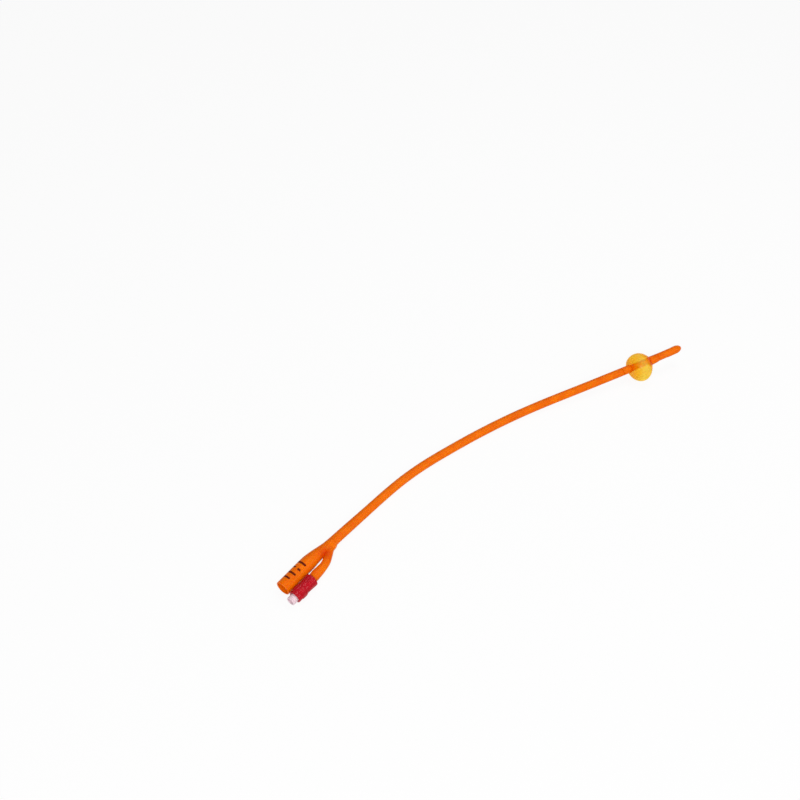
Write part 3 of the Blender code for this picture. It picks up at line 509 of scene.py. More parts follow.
def make_piece(name, points, faces, material):
    """A smooth piece of the catheter, with its faces outward; a cutter has no material."""
    mesh = bpy.data.meshes.new(name)
    mesh.from_pydata(np.asarray(points).reshape(-1, 3).tolist(), [], faces)
    bm = bmesh.new()
    bm.from_mesh(mesh)
    bmesh.ops.recalc_face_normals(bm, faces=bm.faces)
    bm.to_mesh(mesh)
    bm.free()
    piece = new_object(name, mesh)
    finish_shading(piece)
    if material:
        mesh.materials.append(material)
        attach(piece, "catheter")
    return piece


def finish_shading(piece):
    """Smooth shading that leaves the real edges sharp."""
    piece.data.shade_smooth()
    piece.data.set_sharp_from_angle(angle=SHARP_ANGLE)


def tube_solid(name, rings, material=None):
    """A solid of rings that is flat at both ends."""
    numbers = numbered(rings)
    faces = join_rings(numbers) + [numbers[0].tolist(), numbers[-1].tolist()]
    return make_piece(name, rings, faces, material)


def hollow_solid(name, rings, material):
    """A solid of rings whose last one joins the first, such as a tube with its bore."""
    numbers = numbered(rings)
    faces = join_rings(np.vstack([numbers, numbers[:1]]))
    return make_piece(name, rings, faces, material)


def cut_away(piece, cutters):
    """Takes the cutters' shapes out of a piece, leaves the result as its mesh and drops the cutters."""
    for cutter in cutters:
        step = piece.modifiers.new(cutter.name, "BOOLEAN")
        step.operation = "DIFFERENCE"
        step.solver = "EXACT"
        step.object = cutter
    shape = bpy.data.meshes.new_from_object(piece.evaluated_get(bpy.context.evaluated_depsgraph_get()))
    piece.modifiers.clear()
    piece.data = shape
    shape.name = piece.name
    for cutter in cutters:
        bpy.data.objects.remove(cutter, do_unlink=True)
    finish_shading(piece)


def drain_offset(s):
    """The drainage channel's place across the shaft, eased from its middle to the far side."""
    return -DRAIN_SHIFT * ease((s - FUNNEL_LENGTH) / TAPER_LENGTH)


def drain_radius(s):
    """Radius of the drainage channel, eased from the funnel's bore to the shaft's."""
    narrowed = ease((s - FUNNEL_LENGTH + BORE_LEAD) / TAPER_LENGTH)
    return (FUNNEL_BORE + (DRAIN_BORE - FUNNEL_BORE) * narrowed) / 2


def channel_radius(s):
    """Radius of the inflation channel, wide where the valve's tail sits in the arm."""
    wide = ease((SPIGOT_END + CHANNEL_TAPER - s) / CHANNEL_TAPER)
    return (CHANNEL_BORE + (ARM_BORE - CHANNEL_BORE) * wide) / 2


def drain_cutter(first, last):
    """The drainage channel, which opens a little at the mouth's inner edge."""
    inside = np.arange(max(first, 0.0) + RIM_ROUND, last - LUMEN_STEP, LUMEN_STEP)
    s = np.r_[first, inside, last]
    flare = RIM_ROUND * (1 - ease((s + RIM_ROUND) / (3 * RIM_ROUND)))
    rings = rings_along(np.maximum(s, 0.0), drain_radius(s) + flare, LUMEN_SIDES, drain_offset(s))
    _, ahead, _, _ = line_frame(np.zeros(1))
    rings = rings + np.minimum(s, 0.0)[:, None, None] * ahead
    return tube_solid("drain_cutter", rings)


def channel_cutter(first, last):
    """The inflation channel: in the arm's axis, then in the wall of the shaft."""
    s = np.r_[first, np.arange(first + LUMEN_STEP, last - LUMEN_STEP, LUMEN_STEP), last]
    across, above = arm_offset(s)
    centre = beside_line(s, np.maximum(across, CHANNEL_SHIFT), above)
    ahead = unit(np.gradient(centre, axis=0))
    side = unit(np.cross(ahead, UPWARD))
    circles = on_circle(channel_radius(s), even_turns(CHANNEL_SIDES))
    return tube_solid("channel_cutter", placed(circles, centre, side, np.cross(side, ahead)))


def eye_cutter(number, from_tip):
    """An oval drainage eye through one wall: two half circles joined by straight sides.

    The oval is carried outwards from the channel's middle and widens where it leaves the wall.
    """
    centre, ahead, side, up = (row[0] for row in line_frame(np.array([OVERALL_LENGTH - from_tip])))
    turn = EYE_TURN + number * math.pi
    outward = math.cos(turn) * side + math.sin(turn) * up
    sideways = np.cross(ahead, outward)
    arc = np.linspace(-math.pi / 2, math.pi / 2, EYE_ARC_POINTS)
    straight = (EYE_LENGTH - EYE_WIDTH) / 2
    half = np.stack([straight + EYE_WIDTH / 2 * np.cos(arc), EYE_WIDTH / 2 * np.sin(arc)], axis=1)
    outline = np.concatenate([half, -half])
    root = centre - DRAIN_SHIFT * side
    across = outline[:, :1] * ahead + outline[:, 1:] * sideways
    reaches = ((0.0, 0.0), (TIP_OD / 2 - EYE_EDGE, 0.0), (TIP_OD, EYE_FLARE))
    rings = np.stack([root + reach * outward + across * (1 + flare) for reach, flare in reaches])
    return tube_solid(f"eye_cutter_{number + 1}", rings)


def past_crotch(last):
    """Distances from the crotch towards the mouth: close at the rounded root, then even steps."""
    near = CROTCH_ROUND * (1 - np.cos(np.linspace(0.1, 1.0, CROTCH_RINGS) * math.pi / 2))
    return np.r_[CROTCH - near, np.arange(CROTCH - CROTCH_ROUND - HUB_STEP, last, -HUB_STEP)]


def funnel_rings(cut_ring):
    """Rings of the funnel from the crotch to its mouth, whose rim is a quarter circle."""
    rim = RIM_ROUND * (1 - np.sin(np.linspace(0, math.pi / 2, RIM_RINGS)))
    s = np.r_[past_crotch(HUB_STEP), rim]
    outlines = branch_outlines(cut_ring, np.zeros(2), main_radius, s)
    shrink = RIM_ROUND * (1 - np.sqrt(1 - (1 - np.minimum(s / RIM_ROUND, 1.0)) ** 2))
    outlines = outlines * (1 - shrink / main_radius(s))[:, None, None]
    point, _, side, up = line_frame(s)
    return placed(outlines, point, side, up)


def arm_rings(cut_ring):
    """Rings of the arm from the crotch to its end in the valve, turned square to its own axis."""
    s = np.r_[past_crotch(ARM_START), ARM_START]
    across, above = arm_offset(np.array([CROTCH]))
    root_slant = float(arm_frame(np.array([CROTCH]), 0.0)[2][0])
    upright = np.array([root_slant, 1.0])
    outlines = branch_outlines(cut_ring / upright, np.r_[across, above] / upright, arm_radius, s)
    side, up, slant = arm_frame(s, ease((CROTCH - s) / CROTCH_TURN))
    outlines = outlines * np.stack([slant, np.ones_like(slant)], axis=-1)[:, None]
    return placed(outlines, beside_line(s, *arm_offset(s)), side, up)


def mark_painted_crotch_shade(piece, web_middle):
    """Keeps where shade is painted in the crotch's valley: exp(-(distance from the web's middle /
    reach)^2).
    """
    places = np.empty(3 * len(piece.data.vertices))
    piece.data.vertices.foreach_get("co", places)
    from_web = np.linalg.norm(places.reshape(-1, 3) - web_middle, axis=1)
    crotch_shade = piece.data.attributes.new("crotch_shade", "FLOAT", "POINT")
    crotch_shade.data.foreach_set("value", np.exp(-((from_web / CROTCH_SHADE_REACH) ** 2)))


def latex_junction(latex):
    """Funnel, inflation arm and hub in one surface: rings that part at the crotch into two branches.

    The hub's last ring is cut across at one point of its upper and one of its lower side. Each half
    is closed by a point between the two, the saddle, and goes on as a branch's first ring.
    """
    s = np.r_[np.arange(SHAFT_START, CROTCH, -HUB_STEP), CROTCH]
    sections = hub_sections(s, FUNNEL_COLUMNS, ARM_COLUMNS)
    point, _, side, up = line_frame(s)
    hub = placed(sections, point, side, up)
    over, under = FUNNEL_COLUMNS, hub.shape[1] - FUNNEL_COLUMNS
    last = sections[-1]
    saddle = (last[over] + last[under]) / 2
    funnel = funnel_rings(np.concatenate([last[: over + 1], [saddle], last[under:]]))
    arm = arm_rings(np.concatenate([last[over : under + 1], [saddle]]))

    hub_numbers = numbered(hub)
    middle = hub_numbers.size
    funnel_numbers = numbered(funnel, middle + 1)
    arm_numbers = numbered(arm, middle + 1 + funnel_numbers.size)
    ring = hub_numbers[-1]
    funnel_ring = np.r_[ring[: over + 1], middle, ring[under:]]
    arm_ring = np.r_[ring[over : under + 1], middle]
    faces = join_rings(hub_numbers)
    faces += join_rings(np.vstack([funnel_ring, funnel_numbers]))
    faces += join_rings(np.vstack([arm_ring, arm_numbers]))
    faces += [hub_numbers[0].tolist(), funnel_numbers[-1].tolist(), arm_numbers[-1].tolist()]
    blocks = (hub, beside_line(CROTCH, *saddle), funnel, arm)
    points = np.concatenate([block.reshape(-1, 3) for block in blocks])
    piece = make_piece("latex_junction", points, faces, latex)
    beyond = SHAFT_START + 2 * LUMEN_STEP
    channel = channel_cutter(ARM_START - LUMEN_STEP, beyond)
    cut_away(piece, [drain_cutter(-LUMEN_STEP, beyond), channel])
    # painted shade where the crotch's valley lies in shadow
    mark_painted_crotch_shade(piece, beside_line(CROTCH + WEB_MIDDLE, saddle[0], WEB_MIDDLE))
    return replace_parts(piece, "catheter_body")


def latex_shaft(latex):
    """The free shaft from the hub to its closed round tip, with its channel and drainage eyes."""
    rounding = 1 - np.sin(np.linspace(0, math.pi / 2, TIP_RINGS)[:-1])
    tip = OVERALL_LENGTH - TIP_ROUND * rounding
    seat = SEAT_START + SEAT_STEP * np.linspace(0, 1, SEAT_RINGS)
    plain = np.arange(SHAFT_START, SEAT_START - SHAFT_STEP / 2, SHAFT_STEP)
    under = np.arange(seat[-1] + SHAFT_STEP, SEAT_END - SHAFT_STEP / 2, SHAFT_STEP)
    neck = np.arange(SEAT_END + SEAT_STEP + SHAFT_STEP, tip[0] - SHAFT_STEP / 2, SHAFT_STEP)
    s = np.r_[plain, seat, under, seat + SEAT_END - SEAT_START, neck, tip]
    rings = rings_along(s, main_radius(s), SHAFT_SIDES)
    numbers = numbered(rings)
    pole = numbers.size
    last = numbers[-1]
    faces = join_rings(numbers) + [numbers[0].tolist()]
    faces += np.stack([last, np.roll(last, -1), np.full_like(last, pole)], axis=-1).tolist()
    points = np.vstack([rings.reshape(-1, 3), line_point(OVERALL_LENGTH)[None]])
    piece = make_piece("latex_shaft", points, faces, latex)
    cutters = [drain_cutter(SHAFT_START - 2 * LUMEN_STEP, OVERALL_LENGTH - TIP_SOLID)]
    cutters += [eye_cutter(number, from_tip) for number, from_tip in enumerate(EYES_FROM_TIP)]
    cut_away(piece, cutters)
    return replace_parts(piece, "catheter_body")


def balloon_rings(along, radius):
    """Rings at places along the balloon, each hung lower and further aside as it is fuller."""
    s = BALLOON_MIDDLE + along
    point, _, side, up = line_frame(s)
    filled = np.clip((radius - CUFF_OD / 2) / (BALLOON_OD / 2 - CUFF_OD / 2), 0.0, 1.0)
    aside = BALLOON_LEAN * np.where(along > 0, filled**FAR_LEAN, filled)
    centre = point + aside[:, None] * side - BALLOON_SAG * filled[:, None] * up
    return placed(on_circle(radius, even_turns(BULB_SIDES)), centre, side, up)


def bulb_profile():
    """Places along the balloon and the bulb's radii there.

    The profile is a power of the sine over the cosine of an angle: blunt and a little dimpled at
    the near end, drawn out towards the far cuff.
    """
    wide = BALLOON_OD / 2
    first = math.asin((CUFF_OD / 2 / wide) ** (1 / NEAR_POWER))
    last = math.pi - math.asin((FAR_CUFF_ROOT_OD / 2 / wide) ** (1 / FAR_POWER))
    turn = np.linspace(first, last, BULB_RINGS)
    near = turn < math.pi / 2
    radius = wide * np.sin(turn) ** np.where(near, NEAR_POWER, FAR_POWER)
    along = -np.cos(turn) * np.where(near, NEAR_HALF, FAR_HALF)
    along = along + near * DIMPLE * np.exp(-(((radius - CUFF_OD / 2) / DIMPLE_WIDTH) ** 2))
    return along, radius


def film_stretch_and_glow(along, radius):
    """How far the film is stretched at each point of the bulb, from 0 to 1.

    It grows with the square of the radius, more where the balloon hangs, and falls off towards the far
    cuff. The part that grows where the balloon hangs is partly real stretch and partly painted light,
    light that the filling focuses onto its lower side.
    """
    turns = even_turns(BULB_SIDES)
    hang = -BALLOON_SAG * np.sin(turns) - BALLOON_LEAN * np.cos(turns)
    fuller = hang / math.hypot(BALLOON_SAG, BALLOON_LEAN)
    filled = radius[:, None] / (BALLOON_OD / 2)
    far = ease(along / STRETCH_FADE)[:, None]
    share = filled**2 * (STRETCH_EVEN + HANG_STRETCH_AND_GLOW * fuller)
    share = share - far * (STRETCH_FAR + STRETCH_FAR_HANG * (1 - fuller))
    return np.clip(share, 0.0, 1.0)


def balloon_bulb(film):
    """The filled bulb, an uneven ball with a bore that sits on the shaft's seat."""
    along, radius = bulb_profile()
    inner = SEAT_OD / 2 - BULB_SINK
    rings = balloon_rings(np.r_[along[0], along, along[-1]], np.r_[inner, radius, inner])
    piece = hollow_solid("balloon_bulb", rings, film)
    # stretch of the film, with painted light where the balloon hangs
    with_bore = np.pad(film_stretch_and_glow(along, radius), ((1, 1), (0, 0)))
    stretch_and_glow = piece.data.attributes.new("stretch_and_glow", "FLOAT", "POINT")
    stretch_and_glow.data.foreach_set("value", with_bore.ravel())
    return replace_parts(piece, "balloon")


def balloon_cuff(name, along, outer, latex):
    """A bonded end of the balloon: a tube in the shaft's seat, rounded at its free end.

    Its height over the seat falls as the square root of the distance to that end.
    """
    edge = np.sqrt(np.clip(np.abs(along[-1] - along) / CUFF_ROUND, 0.0, 1.0))
    outer = SEAT_OD / 2 + (outer - SEAT_OD / 2) * np.maximum(edge, CUFF_EDGE)
    inner = np.full_like(outer, SEAT_OD / 2 - CUFF_SINK)
    rings = balloon_rings(np.r_[along, along[::-1]], np.r_[outer, inner])
    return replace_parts(hollow_solid(name, rings, latex), "balloon")


def balloon_cuffs(latex):
    """The near cuff is flush with the shaft, the far one is a cone down to the tip's neck."""
    share = 1 - (1 - np.linspace(0, 1, CUFF_RINGS)) ** 2
    near = -NEAR_HALF + NEAR_CUFF_INSIDE - (CUFF_LENGTH + NEAR_CUFF_INSIDE) * share
    far = FAR_HALF - FAR_CUFF_INSIDE + (CUFF_LENGTH + FAR_CUFF_INSIDE) * share
    cone = FAR_CUFF_ROOT_OD + (CUFF_OD - FAR_CUFF_ROOT_OD) * share
    return [
        balloon_cuff("near_cuff", near, np.full_like(near, CUFF_OD / 2), latex),
        balloon_cuff("far_cuff", far, cone / 2, latex),
    ]


def rounded(corners, radius, steps=4):
    """A closed outline whose corners become short curves: quadratics through (1-t)^2, 2t(1-t), t^2."""
    corners = np.asarray(corners, float)
    t = np.linspace(0, 1, steps + 1)[:, None]
    curves = []
    for before, corner, after in zip(np.roll(corners, 1, 0), corners, np.roll(corners, -1, 0)):
        back, ahead = before - corner, after - corner
        start = corner + back * min(radius / np.linalg.norm(back), CORNER_SHARE)
        end = corner + ahead * min(radius / np.linalg.norm(ahead), CORNER_SHARE)
        curves.append(start * (1 - t) ** 2 + corner * 2 * t * (1 - t) + end * t**2)
    return np.concatenate(curves)


def turned_piece(name, outline, sides, material, shape=None):
    """A closed outline of (distance, radius) points turned about the valve's axis."""
    turn = even_turns(sides)
    x, radius = outline[:, :1], outline[:, 1:]
    if shape:
        radius = shape(x, radius, turn)
    ring = np.stack([x + 0 * turn, radius * np.cos(turn), radius * np.sin(turn)], axis=-1)
    return hollow_solid(name, ring + (VALVE_FRONT, *VALVE_AXIS), material)


def dense(outline, spacing):
    """Extra points on the long straight parts of a closed outline."""
    made = []
    for start, end in zip(outline, np.roll(outline, -1, 0)):
        count = max(int(np.linalg.norm(end - start) / spacing), 1)
        made.append(start + (end - start) * np.arange(count)[:, None] / count)
    return np.concatenate(made)


def sleeve_flutes(x, radius, turn):
    """Moulded grip: rounded ribs around the collar and the skirt, gone at the plain edges between.

    Between two ribs the radius drops by the depth times a power of a raised cosine.
    """
    collar = ease((x - COLLAR_START) / SLEEVE_EASE) * ease((COLLAR_END - x) / SLEEVE_EASE)
    skirt = ease((x - SKIRT_START) / (3 * SLEEVE_EASE))
    skirt = skirt * ease((SLEEVE_LENGTH - SLEEVE_EASE - x) / SLEEVE_EASE)
    groove = ((1 + np.cos(FLUTES * turn)) / 2) ** FLUTE_POWER
    outside = radius > (SLEEVE_BORE + MM) / 2
    return radius - outside * (collar + skirt) * FLUTE_DEPTH * groove


def valve_sleeve(red):
    """The red sleeve: nose, knurled collar, waist and a skirt that widens over the arm's end."""
    corners = [
        (0.0, SLEEVE_NOSE_OD),
        (COLLAR_START, SLEEVE_NOSE_OD),
        (COLLAR_START + SLEEVE_EASE, SLEEVE_COLLAR_OD),
        (COLLAR_END - COLLAR_FALL, SLEEVE_COLLAR_OD),
        (COLLAR_END + SLEEVE_EASE, SLEEVE_WAIST_OD),
        (SKIRT_START, SLEEVE_WAIST_OD),
        (SLEEVE_LENGTH - RIM_BAND, SLEEVE_RIM_OD),
        (SLEEVE_LENGTH, SLEEVE_RIM_OD),
        (SLEEVE_LENGTH, SLEEVE_BORE),
        (0.0, SLEEVE_BORE),
    ]
    outline = rounded(np.array(corners) * (1.0, 0.5), SLEEVE_ROUND, steps=6)
    outline = dense(outline, SLEEVE_STEP)
    piece = turned_piece("sleeve", outline, SLEEVE_SIDES, red, sleeve_flutes)
    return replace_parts(piece, "valve_sleeve")


def luer_socket(white):
    """The white valve body: luer socket, seat and chamber, with the rib that holds the sleeve."""
    outer, front = LUER_OD / 2, -LUER_PROUD
    rib = outer + SNAP_RIB
    corners = [
        (front, LUER_BORE / 2),
        (front, outer),
        (SNAP_START, outer),
        (SNAP_START + SNAP_RAMP, rib),
        (SNAP_END, rib),
        (SNAP_END, outer),
        (BODY_END, outer),
        (BODY_END, CHAMBER_BORE / 2),
        (CHAMBER_START, CHAMBER_BORE / 2),
        (CHAMBER_START, SEAT_BORE / 2),
        (LUER_FLOOR, SEAT_BORE / 2),
        (LUER_FLOOR, (LUER_BORE - LUER_TAPER * LUER_DEPTH) / 2),
    ]
    outline = dense(rounded(corners, LUER_ROUND), LUER_STEP)
    piece = turned_piece("luer_socket", outline, LUER_SIDES, white)
    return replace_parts(piece, "valve_body")


def wire_spring(steel):
    """The spring: a round wire carried along a helix over the imported spring's length."""
    low, high = (np.array(corner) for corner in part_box("valve_spring"))
    radius = (high[1] - low[1] - SPRING_WIRE) / 2
    turn = np.linspace(0, 2 * math.pi * SPRING_TURNS, SPRING_STATIONS)
    x = np.linspace(low[0] + SPRING_WIRE / 2, high[0] - SPRING_WIRE / 2, len(turn))
    out = np.stack([0 * turn, np.cos(turn), np.sin(turn)], axis=-1)
    path = np.stack([x, *(VALVE_AXIS[:, None] + radius * out.T[1:])], axis=-1)
    ahead = unit(np.gradient(path, axis=0))
    circles = on_circle(np.full(len(turn), SPRING_WIRE / 2), even_turns(WIRE_SIDES))
    rings = placed(circles, path, out, np.cross(ahead, out))
    piece = tube_solid("wire_spring", rings, steel)
    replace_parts(piece, "valve_spring")
    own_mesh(piece)


def print_bar(number, distance, first, last, width, ink):
    """A plain bar of ink across the funnel: a thin patch on its surface with round ends."""
    turn = np.radians(np.linspace(first, last, BAR_STATIONS))
    arc = (turn - turn[0]) * FUNNEL_OD / 2
    to_end = np.minimum(arc, arc[-1] - arc)
    round_end = np.sqrt(1 - (1 - np.clip(to_end / (width / 2), 0.0, 1.0)) ** 2)
    half = width / 2 * round_end + BAR_TIP
    s = distance + half[:, None] * np.linspace(-1, 1, BAR_COLUMNS)
    point, _, side, up = line_frame(s)
    sheets = []
    for proud in (INK_HEIGHT, -INK_HEIGHT):
        outline = on_circle(FUNNEL_OD / 2 + proud, turn)[:, None]
        sheets.append(point + outline[..., :1] * side + outline[..., 1:] * up)
    top, bottom = sheets
    under = numbered(bottom, BAR_STATIONS * BAR_COLUMNS)
    loops = np.concatenate([numbered(top), under[:, ::-1]], axis=1)
    faces = join_rings(loops) + [loops[0].tolist(), loops[-1].tolist()]
    return make_piece(f"print_bar_{number + 1}", np.stack([top, bottom]), faces, ink)


def linear(colour):
    """Linear red, green and blue, with alpha 1, of an sRGB hex colour."""
    parts = [int(colour[i : i + 2], 16) / 255 for i in (1, 3, 5)]
    return [p / 12.92 if p <= 0.04045 else ((p + 0.055) / 1.055) ** 2.4 for p in parts] + [1.0]


def fill(owner, node, inputs):
    """Gives each input of a node its value or another node's output."""
    for name, value in dict(inputs).items():
        if isinstance(value, bpy.types.NodeSocket):
            owner.node_tree.links.new(value, node.inputs[name])
        else:
            node.inputs[name].default_value = value


def add(owner, kind, inputs=(), **settings):
    """Adds one node to a material or the world, with its settings and inputs."""
    node = owner.node_tree.nodes.new(kind)
    for name, value in settings.items():
        setattr(node, name, value)
    fill(owner, node, inputs)
    return node


def new_material(name):
    """A material with its principled shader, ready for nodes."""
    material = bpy.data.materials.new(name)
    material.use_nodes = True
    return material, material.node_tree.nodes["Principled BSDF"]


def mottle(material, size, low, high):
    """A cloudy value between low and high on object coordinates, with patches of a real size."""
    place = add(material, "ShaderNodeTexCoord").outputs["Object"]
    noise = add(material, "ShaderNodeTexNoise", {"Vector": place, "Scale": 1 / size, "Detail": 2.0})
    spread_out = {"Value": noise.outputs["Fac"], 1: 0.3, 2: 0.7, 3: low, 4: high}
    return add(material, "ShaderNodeMapRange", spread_out).outputs["Result"]


def cloudy_colour(material, size, first, second):
    """Two sRGB hex colours that drift into each other in patches of a real size."""
    inputs = {0: mottle(material, size, 0.0, 1.0), 6: linear(first), 7: linear(second)}
    return add(material, "ShaderNodeMix", inputs, data_type="RGBA").outputs[2]


def relief(material, size, height, strength):
    """A fine relief: noise of a real grain size and height."""
    grain = mottle(material, size, 0.0, 1.0)
    inputs = {"Height": grain, "Distance": height, "Strength": strength}
    return add(material, "ShaderNodeBump", inputs).outputs["Normal"]


def dipped_latex():
    """Natural rubber latex, dipped in coats and cured: satin, slightly translucent, faintly cloudy.

    The deeper, redder colour at the crotch is painted shade, where the valley between the branches lies
    in shadow. Its relief is drawn coarser than a real skin's, so that it shows.
    """
    material, shader = new_material("dipped_latex")
    # painted shade: a mask that mixes a deeper, redder orange into the crotch's valley
    crotch_shade = add(material, "ShaderNodeAttribute", attribute_name="crotch_shade").outputs["Fac"]
    unshaded_colour = cloudy_colour(material, 9.0 * MM, LATEX_DEEP, LATEX_LIGHT)
    inputs = {0: crotch_shade, 6: unshaded_colour, 7: linear(LATEX_CROTCH_SHADE)}
    fill(material, shader, {
        "Base Color": add(material, "ShaderNodeMix", inputs, data_type="RGBA").outputs[2],
        "Roughness": mottle(material, 3.0 * MM, 0.34, 0.42),
        "Normal": relief(material, 1.6 * MM, 0.02 * MM, 0.15),
        "IOR": 1.52,
        "Specular IOR Level": 0.06,
        "Subsurface Weight": 0.3,
        "Subsurface Radius": (1.0, 0.35, 0.05),
        "Subsurface Scale": 1.2 * MM,
    })
    return material


def balloon_film():
    """Stretched latex film over its liquid filling: glossy, with soft waves deeper than real ones.

    It is orange where it is thicker at the cuffs and pale yellow where the filling stretches it most.
    The paler yellow where the balloon hangs is partly painted light, light that the filling focuses
    onto its lower side. What lies behind it shows through with a yellow tint, the shaft as a darker
    band.
    """
    material, shader = new_material("balloon_film")
    # stretch of the film and painted light, in one mask
    stretch_and_glow = add(material, "ShaderNodeAttribute", attribute_name="stretch_and_glow").outputs["Fac"]
    shades = add(material, "ShaderNodeValToRGB", {"Fac": stretch_and_glow})
    stops = shades.color_ramp.elements
    while len(stops) < len(FILM_COLOURS):
        stops.new(0.5)
    for stop, (place, colour) in zip(stops, FILM_COLOURS):
        stop.position = place
        stop.color = linear(colour)
    fill(material, shader, {
        "Base Color": shades.outputs["Color"],
        "Normal": relief(material, 5.0 * MM, 0.3 * MM, 0.35),
        "Roughness": 0.2,
        "IOR": 1.34,
        "Specular IOR Level": 0.25,
        "Subsurface Weight": 0.3,
        "Subsurface Radius": (1.0, 0.7, 0.15),
        "Subsurface Scale": 2.0 * MM,
    })
    clear = add(material, "ShaderNodeBsdfTransparent", {"Color": linear(FILM_TINT)})
    inputs = {0: FILM_SHARE, 1: clear.outputs[0], 2: shader.outputs[0]}
    mixed = add(material, "ShaderNodeMixShader", inputs)
    fill(material, material.node_tree.nodes["Material Output"], {"Surface": mixed.outputs[0]})
    return material


def moulded_plastic(name, deep, light, roughness, inside_light, radius):
    """Injection-moulded polypropylene: glossy with a faint waviness, light goes a little way in.

    The waviness is coarser than a real mould's finish, which would be too fine to see.
    """
    material, shader = new_material(name)
    fill(material, shader, {
        "Base Color": cloudy_colour(material, 4.0 * MM, deep, light),
        "Normal": relief(material, 2.0 * MM, 0.01 * MM, 0.25),
        "Roughness": roughness,
        "IOR": 1.49,
        "Specular IOR Level": 0.15,
        "Subsurface Weight": inside_light,
        "Subsurface Radius": radius,
        "Subsurface Scale": 1.5 * MM,
    })
    return material


def red_polypropylene():
    """The sleeve's polypropylene, coloured through: deep red, which light hardly enters."""
    colours = ("#AA0014", "#BC001C")
    return moulded_plastic("red_polypropylene", *colours, 0.24, 0.1, (1.0, 0.1, 0.1))


def white_polypropylene():
    """The valve's polypropylene, left milky: it glows a little. Its rosy tinge is painted light, red
    light from the sleeve.
    """
    # the rosy tinge is painted light: red light from the sleeve
    colours = ("#DFC4CC", "#E8CFD6")
    return moulded_plastic("white_polypropylene", *colours, 0.32, 0.3, (1.0, 0.85, 0.9))


def pad_ink():
    """Dark brown stamping ink, soaked into the rubber: matt, uneven in coarser patches than real."""
    material, shader = new_material("stamping_ink")
    colour = cloudy_colour(material, 0.8 * MM, "#521000", "#742200")
    fill(material, shader, {"Base Color": colour, "Roughness": 0.6, "Specular IOR Level": 0.1})
    return material


def spring_steel():
    """Drawn stainless wire: bright, its gloss broken up in patches coarser than drawing marks."""
    material, shader = new_material("spring_steel")
    gloss = mottle(material, 0.2 * MM, 0.2, 0.35)
    fill(material, shader, {"Base Color": linear("#C4C6C9"), "Metallic": 1.0, "Roughness": gloss})
    return material


def seal_rubber():
    """Black moulded rubber: matt, which swallows nearly all light."""
    material, shader = new_material("seal_rubber")
    colour = cloudy_colour(material, 0.6 * MM, "#161616", "#262524")
    fill(material, shader, {"Base Color": colour, "Roughness": 0.65})
    return material


def repaint(node, material):
    """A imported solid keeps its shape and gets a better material."""
    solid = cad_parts[node]
    solid.data.materials.clear()
    solid.data.materials.append(material)


def seen_as_background(owner):
    """One for a ray from the camera, from a gloss or through something clear, else nothing."""
    path = add(owner, "ShaderNodeLightPath")
    seen = path.outputs["Is Camera Ray"]
    for output in ("Is Glossy Ray", "Is Transmission Ray"):
        either = {0: seen, 1: path.outputs[output]}
        seen = add(owner, "ShaderNodeMath", either, operation="MAXIMUM").outputs[0]
    return seen


def floor_material():
    """White paper: seen straight, in gloss and through the balloon it is nearly pure white."""
    material, shader = new_material("white_paper")
    fill(material, shader, {"Base Color": linear("#EDEDED"), "Roughness": 0.9})
    share_inputs = {0: seen_as_background(material), 1: FLOOR_GLOW}
    share = add(material, "ShaderNodeMath", share_inputs, operation="MULTIPLY").outputs[0]
    glow = add(material, "ShaderNodeEmission", {"Color": (1.0, 1.0, 1.0, 1.0), "Strength": 1.0})
    inputs = {0: share, 1: shader.outputs[0], 2: glow.outputs[0]}
    mixed = add(material, "ShaderNodeMixShader", inputs)
    fill(material, material.node_tree.nodes["Material Output"], {"Surface": mixed.outputs[0]})
    return material


def make_floor():
    """A wide pale floor under the part."""
    mesh = bpy.data.meshes.new("floor")
    half = FLOOR_HALF
    corners = [(-half, -half, 0), (half, -half, 0), (half, half, 0), (-half, half, 0)]
    mesh.from_pydata(corners, [], [(0, 1, 2, 3)])
    mesh.materials.append(floor_material())
    new_object("floor", mesh)


def make_world():
    """White surroundings: full white where they are seen, dimmer as a light."""
    world = bpy.data.worlds.new("white_room")
    bpy.context.scene.world = world
    world.use_nodes = True
    inputs = {"Value": seen_as_background(world), 3: AMBIENT, 4: 1.0}
    strength = add(world, "ShaderNodeMapRange", inputs).outputs["Result"]
    background = world.node_tree.nodes["Background"]
    fill(world, background, {"Color": (1.0, 1.0, 1.0, 1.0), "Strength": strength})


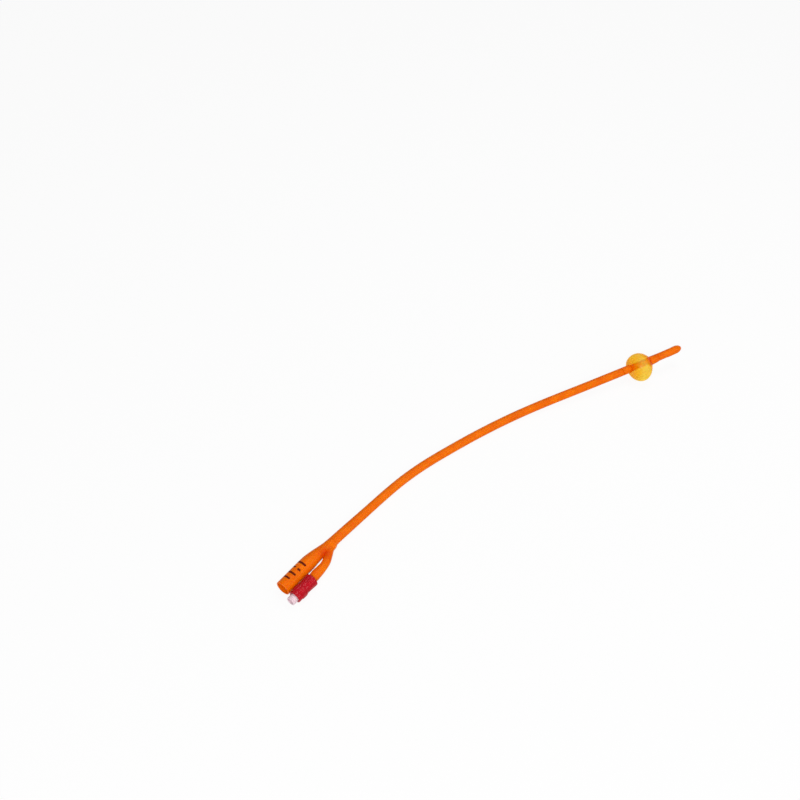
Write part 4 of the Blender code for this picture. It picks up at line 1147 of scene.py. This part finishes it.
def make_lamp(name, place, target, size, power):
    """A square soft box that faces its target."""
    lamp = bpy.data.lights.new(name, "AREA")
    lamp.size = size
    lamp.energy = power
    holder = new_object(name, lamp)
    holder.location = place
    holder.rotation_euler = (Vector(target) - Vector(place)).to_track_quat("-Z", "Y").to_euler()


def make_camera():
    """The camera at the photograph's place, turned by azimuth, elevation and a slight roll."""
    az, el, roll = CAMERA_AZIMUTH, CAMERA_ELEVATION, CAMERA_ROLL
    ahead = np.array([-math.sin(az) * math.cos(el), math.cos(az) * math.cos(el), -math.sin(el)])
    level = np.array([math.cos(az), math.sin(az), 0.0])
    upright = np.cross(level, ahead)
    right = level * math.cos(roll) + upright * math.sin(roll)
    up = -level * math.sin(roll) + upright * math.cos(roll)
    turned = np.eye(4)
    turned[:3] = np.stack([right, up, -ahead, MOUTH + CAMERA_FROM_MOUTH], axis=1)
    data = bpy.data.cameras.new("camera")
    data.lens = CAMERA_LENS
    data.sensor_width = CAMERA_SENSOR
    data.clip_start = CAMERA_CLIP
    camera = new_object("camera", data)
    camera.matrix_world = Matrix(turned.tolist())
    bpy.context.scene.camera = camera
    bpy.context.scene.view_settings.view_transform = "Standard"


def dress_rubber():
    """The latex pieces and the filled balloon."""
    latex = dipped_latex()
    latex_junction(latex)
    shaft = latex_shaft(latex)
    bulb = balloon_bulb(balloon_film())
    cuffs = balloon_cuffs(latex)


def dress_valve():
    """The valve's finer pieces, and better materials on the solids that keep their shape."""
    valve_sleeve(red_polypropylene())
    white = white_polypropylene()
    luer_socket(white)
    for node in ("valve_plunger", "valve_tail"):
        repaint(node, white)
    wire_spring(spring_steel())
    repaint("plunger_seal", seal_rubber())


def print_funnel():
    """Generic bars where the real funnel has its print."""
    ink = pad_ink()
    for number, (distance, first, last, width) in enumerate(PRINT_BARS):
        print_bar(number, distance * MM, first, last, width * MM, ink)


def main():
    """Dresses the part and sets up floor, light and camera."""
    dress_rubber()
    dress_valve()
    print_funnel()
    make_world()
    make_floor()
    for lamp in LAMPS:
        make_lamp(*lamp)
    make_camera()
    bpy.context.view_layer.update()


main()
